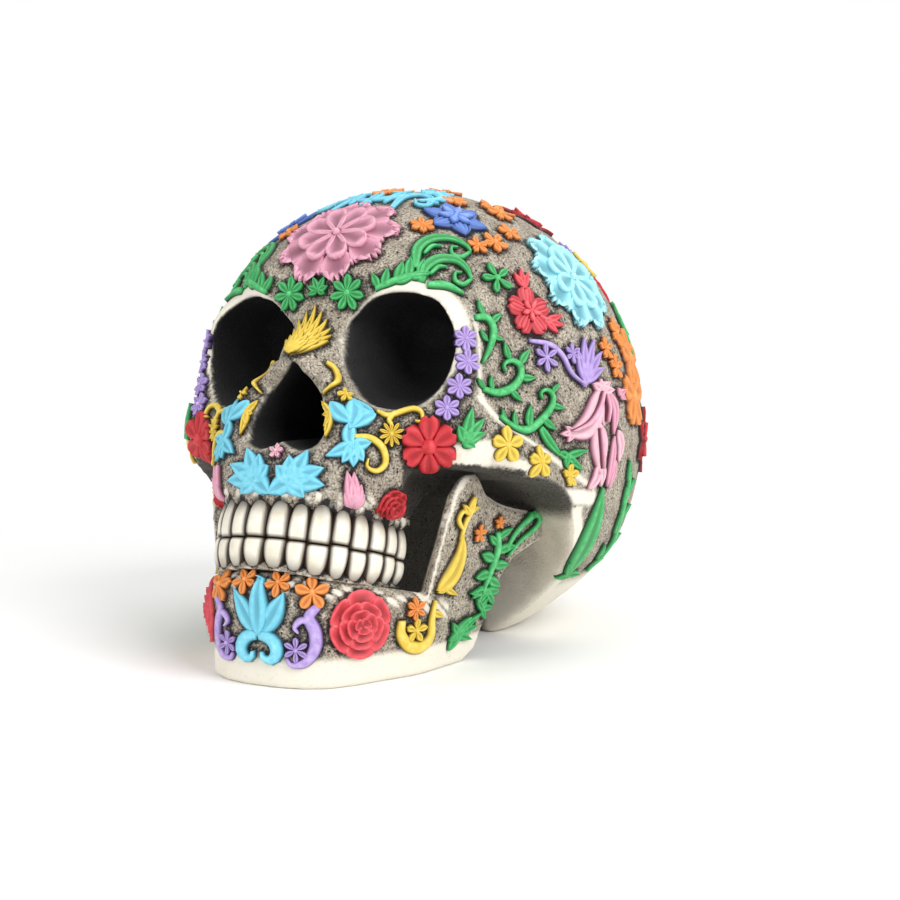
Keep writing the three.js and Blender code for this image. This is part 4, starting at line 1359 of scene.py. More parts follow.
@dataclass
class CastPaint:
    """Where the castings carry dark wash with painted shade, cream, bare resin, black paint and painted shade.

    A ramp gives where a soft edge starts and where it ends.
    """

    cast: Cast
    # Dark wash round the ornaments, which is also painted shade where they meet the ground.
    wash_reach: float = 3.0
    wash_edge: Ramp = (2.3, 0.3)
    wash_under_cream: float = 0.55
    # Cream daubs along the gums, and cream strokes.
    gum_height: float = 12.5
    gum_bite_y: float = -93.1
    gum_rear_y: float = -52.0
    gum_share: float = 0.9
    gum_band: Ramp = (3.4, 1.0)
    daub_waves: tuple[Place, Place] = ((1.3, 0.4, 0.7), (-0.5, 0.9, 1.1))
    daub_edge: Ramp = (0.05, 0.3)
    stroke_edge: float = 0.7
    stroke_reach: float = 3.0
    # Black eye sockets, which end in front of the nose's bridge, and their cream rims.
    bridge_edge: tuple[Point, ...] = (
        (361, 306), (353, 317), (348, 326), (345, 341), (344, 356),
        (345, 366), (349, 377), (355, 387), (361, 396), (369, 404),
    )
    bridge_soft_px: float = 3.0
    bridge_depth: float = 7.0
    socket_front: float = -9.0
    socket_level: float = 1.02
    socket_edge: Ramp = (1.06, 0.98)
    rim_reach: float = 8.0
    rim_lean: Point = (0.5, 0.87)
    rim_turn: Ramp = (0.2, 0.85)
    rim_half: float = 1.0
    rim_swell: float = 3.2
    rim_edge: float = 0.6
    rim_level: float = 3.2
    # The black nose opening and its cream edge.
    nose_inward: Ramp = (0.0, -0.4)
    nose_inside: Ramp = (0.4, -1.0)
    nose_wall: Ramp = (2.1, 0.7)
    nose_base: Ramp = (-2.2, -0.8)
    nose_apex: Ramp = (1.2, -0.2)
    nose_depth: Ramp = (0.8, 2.2)
    nose_rear_y: float = -30.0
    nose_rim_share: float = 0.8
    nose_rim_reach: float = 4.0
    nose_rim_edge: Ramp = (1.3, 0.5)
    nose_rim_rear_y: float = -60.0
    # The bare hollow behind the jaw, its cream rim and the painted shade in its depth.
    hollow_y: float = -20.2
    hollow_z: float = 8.0
    hollow_half_length: float = 34.0
    hollow_half_rise: float = 48.0
    hollow_yaw: float = 20.0
    hollow_edge: Ramp = (1.1, 1.04)
    hollow_front_y: float = -45.0
    hollow_rim_reach: float = 8.0
    hollow_rim_edge: Ramp = (5.2, 3.8)
    hollow_rim_top_z: float = 47.0
    hollow_rim_front_y: float = -24.0
    hollow_shade: float = 0.1
    hollow_shade_z: Ramp = (16.0, 36.0)
    hollow_deep_shade: float = 0.86
    hollow_deep_shade_z: Ramp = (41.0, 47.0)
    hollow_middle_shade: float = 0.85
    hollow_middle_shade_half: Ramp = (26.0, 22.0)
    hollow_pale: float = 0.8
    hollow_pale_z: Ramp = (30.0, 8.0)
    shade_share: float = 0.88
    # The painted shade in the pocket under each cheek arch.
    pocket: Place = (45.0, -55.7, 60.0)
    pocket_radius: float = 18.0
    pocket_fall: float = 0.15
    pocket_lip: float = 1.2
    pocket_edge: Ramp = (0.9, 0.2)
    pocket_floor_z: float = 8.0
    # The cream base of the cranium, the jaw's cream band and its bare inner faces, which get painted shade.
    base_band: float = 20.0
    base_edge: float = 3.0
    jaw_band: float = 8.5
    jaw_band_edge: float = 1.2
    jaw_side_half: Ramp = (6.0, 20.0)
    jaw_front_share: float = 0.8
    jaw_inner_edge: float = 0.15
    jaw_inner_shade: float = 0.85
    jaw_rim_share: float = 0.9
    jaw_rim_outer: Ramp = (0.86, 0.72)
    jaw_rim_inner: Ramp = (0.1, 0.3)
    jaw_rim_front_y: float = -64.0
    jaw_rim_foot_z: float = 12.0

    def build(self, ornaments: Array, cream_lines: Sequence[tuple[Array, float]]) -> None:
        """Stores the paint of both castings and dresses them.

        Args:
            ornaments: Places on the feet of all ornaments.
            cream_lines: Places along cream strokes, each with its half width in millimetres.
        """
        for ground, store in ((self.cast.cranium, self.paint_cranium), (self.cast.jaw, self.paint_jaw)):
            obj = ground.obj
            places = coordinates(obj)
            normals = np.empty(len(places) * 3)
            obj.data.vertices.foreach_get("normal", normals)
            # Dark wash and painted shade fade with the distance to the nearest ornament's foot.
            away = nearest_distance(places, ornaments, self.wash_reach * MM) / MM
            cream = self.gum_daubs(places / MM)
            for line, half in cream_lines:
                beside = nearest_distance(places, line, self.stroke_reach * half * MM) / MM
                cream = np.maximum(cream, smooth(half + self.stroke_edge, half - self.stroke_edge, beside))
            store(obj, places / MM, normals.reshape(-1, 3), smooth(*self.wash_edge, away), cream)
            AntiquedResin().dress(obj)

    def gum_daubs(self, places: Array) -> Array:
        """Cream daubs along both gums, at an even height from the plane that the teeth meet in."""
        _, y, z = places.T
        tilt = math.radians(BITE_TILT)
        rise = (z - BITE_Z) * math.cos(tilt) + (y - self.gum_bite_y) * math.sin(tilt)
        first, second = (np.sin(places @ np.array(wave)) for wave in self.daub_waves)
        band = smooth(*self.gum_band, np.abs(np.abs(rise) - self.gum_height))
        daubs = self.gum_share * band * smooth(*self.daub_edge, first * second)
        return daubs * (y < self.gum_rear_y)

    def sockets(self, places: Array, past_bridge: Array) -> tuple[Array, Array]:
        """Paints the eye sockets.

        Args:
            places: Places on the cranium, as they lay before its face was shaped.
            past_bridge: How many pixels past the edge of the nose's bridge each place is seen.

        Returns:
            How black and how cream each place is.
        """
        black_and_shade, cream = np.zeros(len(places)), np.zeros(len(places))
        on_bridge = smooth(self.bridge_soft_px, -self.bridge_soft_px, past_bridge)
        for side in SIDES.values():
            local = self.cast.socket.local(places, side)
            level = self.cast.socket.level(local)
            bridge = on_bridge * (side * local[:, 0] < 0) * (local[:, 1] < self.bridge_depth)
            reached = (local[:, 1] > self.socket_front) & (places[:, 1] < 0)
            inside = (level < self.socket_level) & reached & (bridge < HALF)
            black_and_shade = np.maximum(black_and_shade, smooth(*self.socket_edge, level) * reached * (1.0 - bridge))
            away = nearest_distance(places, places[inside], self.rim_reach)
            reach = np.maximum(np.hypot(local[:, 0], local[:, 2]), 1)
            lean = (side * local[:, 0] * self.rim_lean[0] + local[:, 2] * self.rim_lean[1]) / reach
            half = self.rim_half + self.rim_swell * smooth(*self.rim_turn, lean)
            rim = smooth(half + self.rim_edge, half - self.rim_edge, away)
            cream = np.maximum(cream, rim * (level < self.rim_level))
        return black_and_shade, cream

    def nose(self, places: Array, normals: Array) -> Array:
        """How black the nose opening is at each place."""
        x, y, z = places.T
        beside = np.abs(x) - self.cast.nose_half(places)
        inward = smooth(*self.nose_inward, normals[:, 0] * np.sign(x))
        black_and_shade = np.maximum(smooth(*self.nose_inside, beside), smooth(*self.nose_wall, beside) * inward)
        black_and_shade *= smooth(*self.nose_base, z - self.cast.nasal_base_z)
        black_and_shade *= smooth(*self.nose_apex, z - self.cast.nasal_apex_z)
        black_and_shade *= smooth(*self.nose_depth, y - self.cast.nose_front(places))
        return black_and_shade * (y < self.nose_rear_y)

    def hollow(self, places: Array) -> Array:
        """How far each place lies within the hollow behind the jaw."""
        x, y, z = places.T
        yaw = math.radians(self.hollow_yaw)
        swung = y - self.hollow_y + np.abs(x) * math.tan(yaw)
        drum = (swung * math.cos(yaw) / self.hollow_half_length) ** 2
        drum = drum + ((z - self.hollow_z) / self.hollow_half_rise) ** 2
        return smooth(*self.hollow_edge, drum) * (y > self.hollow_front_y)

    def shadow(self, places: Array, flank: Array) -> Array:
        """How much painted shade the pockets under the cheek arches and the depth of the hollow get."""
        x, y, z = places.T
        aside = np.hypot(np.abs(x) - self.pocket[0], y - self.pocket[1])
        roof = self.pocket[2] + self.pocket_lip - self.pocket_fall * (y - self.pocket[1])
        within = (z < roof) & (z > self.pocket_floor_z)
        outer, inner = (self.pocket_radius + edge for edge in self.pocket_edge)
        pocket = smooth(outer, inner, aside) * within
        depth = self.hollow_shade * smooth(*self.hollow_shade_z, z)
        depth = flank * (depth + self.hollow_deep_shade * smooth(*self.hollow_deep_shade_z, z))
        middle = self.hollow_middle_shade * flank * smooth(*self.hollow_middle_shade_half, np.abs(x))
        return np.maximum.reduce([pocket, depth, middle])

    def paint_cranium(self, obj: Object, places: Array, normals: Array, wash: Array, cream: Array) -> None:
        """Paints the sockets and the nose black, their rims and the base cream, the hollow bare, and painted
        shade in the cheek pockets and the hollow's depth.

        Args:
            obj: The casting.
            places: Its vertices in millimetres.
            normals: Their directions.
            wash: How dark the wash and the painted shade round the ornaments are at each.
            cream: How cream each is so far.
        """
        across, down = VIEW.pixels(places * np.sign(places[:, :1]) ** np.array([1, 0, 0]))
        columns, rows = zip(*self.bridge_edge)
        past_bridge = across - np.interp(down, rows, columns, left=0, right=0)
        places = self.cast.rest
        _, y, z = places.T
        black_and_shade, socket_rims = self.sockets(places, past_bridge)
        nose = self.nose(places, normals)
        black_and_shade = np.maximum(black_and_shade, nose)
        away = nearest_distance(places, places[nose > HALF], self.nose_rim_reach)
        nose_rim = self.nose_rim_share * smooth(*self.nose_rim_edge, away) * (y < self.nose_rim_rear_y)
        flank = self.hollow(places)
        away = nearest_distance(places, places[flank > HALF], self.hollow_rim_reach)
        hollow_rim = smooth(*self.hollow_rim_edge, away)
        hollow_rim *= (z < self.hollow_rim_top_z) * (y > self.hollow_rim_front_y)
        base = smooth(self.base_band + self.base_edge, self.base_band - self.base_edge, z)
        cream = np.maximum.reduce([cream, socket_rims, nose_rim, hollow_rim, base])
        dark = self.shadow(places, flank)
        pale = flank * smooth(*self.hollow_pale_z, z) * self.hollow_pale
        covered = np.maximum.reduce([black_and_shade, flank, dark])
        # Black paint in the sockets and the nose, with painted shade from the pockets and the hollow.
        set_attribute(obj, "black_and_shade", np.maximum(black_and_shade, dark * self.shade_share))
        set_attribute(obj, "flank", flank * (1.0 - dark))
        set_attribute(obj, "cream", np.maximum(cream * (1.0 - covered), pale * (1.0 - dark)))
        set_attribute(obj, "wash", wash * (1.0 - self.wash_under_cream * cream))

    def paint_jaw(self, obj: Object, places: Array, normals: Array, wash: Array, cream: Array) -> None:
        """Paints the jaw's lower band and rear edge cream and leaves its inner faces bare, with painted shade
        on them.

        Args:
            obj: The casting.
            places: Its vertices in millimetres.
            normals: Their directions.
            wash: How dark the wash and the painted shade round the ornaments are at each.
            cream: How cream each is so far.
        """
        x, y, z = places.T
        side = normals[:, 0] * np.sign(x)
        outward = side * smooth(*self.jaw_side_half, np.abs(x)) - normals[:, 1] * self.jaw_front_share
        inner = smooth(self.jaw_inner_edge, -self.jaw_inner_edge, outward)
        band = smooth(self.jaw_band + self.jaw_band_edge, self.jaw_band - self.jaw_band_edge, z)
        rim = self.jaw_rim_share * smooth(*self.jaw_rim_outer, side) * smooth(*self.jaw_rim_inner, side)
        rim *= (y > self.jaw_rim_front_y) * (z > self.jaw_rim_foot_z)
        # The jaw's inner faces get painted shade, except on the cream rim.
        set_attribute(obj, "black_and_shade", inner * self.jaw_inner_shade * (1 - rim))
        set_attribute(obj, "flank", inner)
        set_attribute(obj, "cream", np.maximum.reduce([cream, band * (1 - inner), rim]))
        set_attribute(obj, "wash", wash)


# Teeth.


@dataclass(frozen=True)
class ToothRow:
    """One row of crowns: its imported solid, its size and how its gum is drawn."""

    node: str
    upward: float
    height: float
    shares: tuple[float, ...]
    gum_stain_and_shade: float
    gum_overlap: float
    gum_forward: float


UPPER_ROW = ToothRow(
    "upper_tooth_row", 1.0, 11.5, (1.0, 0.95, 0.99, 0.92, 0.9, 0.86, 0.82, 0.8),
    gum_stain_and_shade=0.9, gum_overlap=1.3, gum_forward=2.0,
)
LOWER_ROW = ToothRow(
    "lower_tooth_row", -1.0, 8.5, (0.94, 0.97, 1.04, 1.06, 1.04, 1.02, 0.96, 0.9),
    gum_stain_and_shade=0.6, gum_overlap=1.08, gum_forward=0.9,
)


@dataclass
class Teeth:
    """Both rows of crowns on one dental curve.

    Shares of a crown's height run from 0 at the bite to 1 at the gum.
    """

    length: float = 35.0
    corner: float = 2.5
    curve_steps: int = 401
    gap: float = 0.35
    bite_step: float = 0.4
    bite_waves: float = 11.0
    depth: float = 6.0
    widths: tuple[float, ...] = (6.6, 5.6, 6.3, 5.5, 5.8, 6.6, 5.6, 5.4)
    # A crown's shape.
    cuts: int = 9
    side_round: float = 0.3
    front_round: float = 0.38
    width_share: float = 0.53
    gum_width: float = 0.3
    arch_reach: float = 1.06
    arch_power: float = 2.3
    worn: float = 0.1
    worn_rise: Ramp = (0.16, 0.0)
    bow_least: float = 0.72
    bow_span: Ramp = (0.15, 0.75)
    setback: float = 0.42
    root_lean: float = 0.9
    crown_inset: float = 1.0
    heading_step: float = 0.01
    gum_dome: float = 0.07
    gum_dome_rise: Ramp = (0.5, 1.0)
    # The brown rubbed round a crown, together with painted shade toward the gum, in the gaps, at the bite and
    # on its back.
    stain_rise: Ramp = (0.4, 1.0)
    stain_power: float = 1.3
    stain_side: Ramp = (0.66, 0.95)
    stain_back: Ramp = (-0.2, 0.3)
    stain_bite: Ramp = (0.09, 0.0)
    # The gum wall behind and above the crowns, with painted shade next to the crowns and toward its far edge.
    wall_stations: int = 160
    wall_rows: int = 20
    wall_inset: float = 4.8
    wall_forward_rise: Ramp = (0.8, 1.05)
    wall_thickness: float = 3.0
    wall_ahead: float = 1.5
    wall_wash_and_shade_reach: float = 3.0
    wall_wash_and_shade: Ramp = (1.5, 0.5)
    wall_wash_and_shade_rise: Ramp = (0.97, 0.85)
    daub_waves: Place = (61.0, 23.0, 9.0)
    daub_share: float = 0.85
    daub_edge: Ramp = (0.1, 0.5)
    daub_rise: Ramp = (1.02, 1.08)

    def __post_init__(self) -> None:
        """Takes the curve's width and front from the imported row."""
        low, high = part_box("upper_tooth_row")
        self.half_width = high.x / MM
        self.front_y = low.y / MM

    def point(self, angle: float, inset: float) -> Array:
        """A point of the dental curve in the bite plane."""
        power = 2.0 / self.corner
        s, c = math.sin(angle), math.cos(angle)
        x = (self.half_width - inset) * math.copysign(abs(s) ** power, s)
        y = self.length - (self.length - inset) * math.copysign(abs(c) ** power, c)
        return np.array([x, y])

    def places(self) -> list[tuple[float, float]]:
        """Angle and width of each tooth on one side."""
        angles = np.linspace(0.0, math.pi / 2, self.curve_steps)
        line = np.array([self.point(a, 0.0) for a in angles])
        reach = np.concatenate([[0.0], np.cumsum(np.linalg.norm(np.diff(line, axis=0), axis=1))])
        scale = reach[-1] / sum(self.widths)
        middles = (np.cumsum(self.widths) - np.array(self.widths) / 2) * scale
        return [(float(np.interp(m, reach, angles)), w * scale) for m, w in zip(middles, self.widths)]

    def to_skull(self, places: Array) -> Array:
        """Moves places from the bite plane to the skull, in metres."""
        turn = np.array(Matrix.Rotation(-math.radians(BITE_TILT), 3, "X"))
        return (places @ turn.T + np.array([0.0, self.front_y, BITE_Z])) * MM

    def shape(self, unit: Array, row: ToothRow, width: float, height: float, step: float) -> Array:
        """Turns a cut-up cube into a crown: square at the bite, arched at the gum, bowed in front.

        Args:
            unit: The cube's vertices, from -1 to 1.
            row: The crown's row.
            width: Its room along the curve.
            height: From the bite to the gum.
            step: How far its bite edge lies above its neighbours'.

        Returns:
            The crown's vertices about its place on the curve.
        """
        rise = 0.5 + 0.5 * unit[:, 2]
        across = unit[:, 0] * np.sqrt(1 - self.side_round * unit[:, 1] ** 2)
        deep = unit[:, 1] * np.sqrt(1 - self.front_round * unit[:, 0] ** 2)
        arch = np.sqrt(np.maximum(1.0 - (rise / self.arch_reach) ** self.arch_power, 0.0))
        worn = 1.0 - self.worn * smooth(*self.worn_rise, rise)
        bow = np.sin(np.pi * (self.bow_span[0] + self.bow_span[1] * rise))
        bow = self.bow_least + (1.0 - self.bow_least) * bow
        dome = 1.0 - self.gum_dome * unit[:, 0] ** 2 * smooth(*self.gum_dome_rise, rise)
        arch = self.gum_width + (1.0 - self.gum_width) * arch
        half_gap = self.gap / 2
        shaped = np.empty_like(unit)
        shaped[:, 0] = across * self.width_share * width * arch * worn
        shaped[:, 1] = deep * self.depth * 0.5 * bow * worn
        shaped[:, 1] += self.depth * self.setback + self.root_lean * rise**2
        shaped[:, 2] = row.upward * (half_gap + rise * dome * (height - half_gap)) + step * (1.0 - rise)
        return shaped

    def crown(self, row: ToothRow, angle: float, width: float, height: float) -> Object:
        """Models one crown from a cut-up cube.

        Args:
            row: The crown's row.
            angle: Where it stands on the dental curve.
            width: Its room along the curve.
            height: From the bite to the gum.

        Returns:
            The crown, with its stain and painted shade stored.
        """
        bpy.ops.mesh.primitive_cube_add(size=2.0)
        crown = bpy.context.view_layer.objects.active
        edit_mesh(partial(bpy.ops.mesh.subdivide, number_cuts=self.cuts))
        unit = coordinates(crown)
        step = self.bite_step * math.sin(self.bite_waves * abs(angle))
        shaped = self.shape(unit, row, width, height, step)
        seat = self.point(angle, self.crown_inset)
        ahead = self.point(angle + self.heading_step, self.crown_inset) - seat
        a = math.atan2(ahead[1], ahead[0])
        turned = shaped.copy()
        turned[:, 0] = shaped[:, 0] * math.cos(a) - shaped[:, 1] * math.sin(a) + seat[0]
        turned[:, 1] = shaped[:, 0] * math.sin(a) + shaped[:, 1] * math.cos(a) + seat[1]
        set_coordinates(crown, self.to_skull(turned))
        rise = 0.5 + 0.5 * unit[:, 2]
        # Brown rub together with painted shade: toward the gum, at the sides, on the back and at the bite.
        gum = row.gum_stain_and_shade * smooth(*self.stain_rise, rise) ** self.stain_power
        side = smooth(*self.stain_side, np.abs(unit[:, 0]))
        back = smooth(*self.stain_back, unit[:, 1])
        bite = smooth(*self.stain_bite, rise)
        set_attribute(crown, "stain", np.clip(np.maximum.reduce([gum, side, back, bite]), 0, 1))
        if row.upward < 0:
            edit_mesh(bpy.ops.mesh.flip_normals)
        return crown

    def gum_wall(self, row: ToothRow, crowns: Object) -> Object:
        """Models the gum round a row's crowns by drawing a grid along the curve and thickening it."""
        bpy.ops.mesh.primitive_grid_add(
            x_subdivisions=self.wall_stations, y_subdivisions=self.wall_rows, size=2
        )
        wall = bpy.context.view_layer.objects.active
        unit = coordinates(wall)
        share = (0.5 + 0.5 * unit[:, 1]) * row.gum_overlap
        inset = self.wall_inset - row.gum_forward * smooth(*self.wall_forward_rise, share)
        line = np.array([self.point(x * math.pi / 2, i) for x, i in zip(unit[:, 0], inset)])
        angles = [angle for angle, _ in self.places()]
        scale = np.interp(np.abs(unit[:, 0]) * math.pi / 2, angles, row.shares)
        rise = row.upward * (self.gap / 2 + share * scale * (row.height - self.gap / 2))
        places = self.to_skull(np.column_stack([line, rise]))
        set_coordinates(wall, places)
        fast, slow, slant = self.daub_waves
        daubs = np.sin(unit[:, 0] * fast) * np.sin(unit[:, 0] * slow + share * slant)
        front = places - np.array([0.0, self.wall_ahead * MM, 0.0])
        near = nearest_distance(front, coordinates(crowns), self.wall_wash_and_shade_reach * MM) / MM
        # Painted shade on the gum next to the crowns and toward the wall's far edge, mixed with the wash.
        wash = np.maximum(smooth(*self.wall_wash_and_shade, near), smooth(*self.wall_wash_and_shade_rise, share))
        set_attribute(wall, "wash", wash)
        cream = self.daub_share * smooth(*self.daub_edge, daubs) * smooth(*self.daub_rise, share)
        set_attribute(wall, "cream", cream)
        apply_modifier(wall, "SOLIDIFY", thickness=self.wall_thickness * MM, offset=0.0)
        AntiquedResin().dress(wall)
        select_only(wall)
        edit_mesh(partial(bpy.ops.mesh.normals_make_consistent, inside=False))
        return wall

    def build(self) -> None:
        """Makes both rows and dresses them."""
        for row in (UPPER_ROW, LOWER_ROW):
            crowns = []
            for (angle, width), share in zip(self.places(), row.shares):
                height = row.height * share
                crowns += [self.crown(row, side * angle, width, height) for side in SIDES.values()]
            teeth = join(crowns, row.node.replace("tooth_row", "teeth"))
            ToothIvory().dress(teeth)
            teeth = join([teeth, self.gum_wall(row, teeth)], teeth.name)
            select_only(teeth)
            bpy.ops.object.shade_smooth()
            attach(teeth, BODY)
            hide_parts(row.node)
            LOG.info("%s: %d faces", teeth.name, len(teeth.data.polygons))


# Ornaments.


class Bed(Enum):
    """Which casting an ornament lies on."""

    CRANIUM = auto()
    JAW = auto()


@dataclass(frozen=True)
class Ornament:
    """A painted relief: what it is and where it sits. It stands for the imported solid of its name, if any."""

    name: str
    spot: Spot
    paint: Paint
    drawing: Drawing
    turn: float = 0.0
    bed: Bed = Bed.CRANIUM


MIDLINE: tuple[Ornament, ...] = (
    Ornament("forehead_dahlia", Direction(0, 55.4), Paint.PINK, dahlia(9, 8, 19.6)),
    Ornament("crown_scroll", Direction(0, 78), Paint.CYAN,
        both(Blade(17, 4.2, 170, bend=-60, curl=-170, profile=Profile.SCROLL, section=GROOVE))
        + (Blade(10, 5, 90, section=GROOVE), Blade(7, 4, 270, section=GROOVE))),
    Ornament("glabella_lotus", Pixel(309, 360), Paint.YELLOW,
        fan(range(50, 131, 8), 20.0, 2.6, taper=0.46, height=1.4)
        + fan(range(54, 127, 9), 14.0, 2.5, taper=0.34, height=1.3, lift=0.6)
        + fan(range(60, 121, 12), 9.0, 2.2, height=1.2, lift=1.1)),
    Ornament("chin_tulip", Direction(0, -1), Paint.CYAN,
        (Blade(17, 7.0, 90, at=(0, -4.5), section=GROOVE, height=2.2),)
        + both(Blade(14, 6.6, 126, at=(-0.8, -4), bend=-10, section=GROOVE))
        + both(Blade(15, 4.4, 170, at=(-0.4, -4.6), bend=170, curl=130, profile=Profile.SCROLL, height=2.2)),
        bed=Bed.JAW),
    Ornament("brow_sprig", Pixel(322, 291), Paint.GREEN,
        fan((20, 65, 115, 160), 5.0, 2.4) + fan((205, 335), 4.0, 2.0)),
    Ornament("spine_flower", Pixel(275, 452), Paint.BLUSH, flower(5, 2.1, 1.5)),
    Ornament("rear_blossom", Direction(180, 56), Paint.BLUE, double_blossom(6, 11.0)),
    Ornament("rear_dahlia", Direction(180, 34), Paint.PINK, dahlia(9, 8, 18.0)),
    Ornament("rear_fan", Direction(180, 3), Paint.YELLOW, hibiscus(13.0)),
    Ornament("nape_flower", Direction(180, -20), Paint.PURPLE, hibiscus(8.4)),
    Ornament("summit_star", Direction(0, 89), Paint.ORANGE, flower(8, 5.5, 3.0)),
)

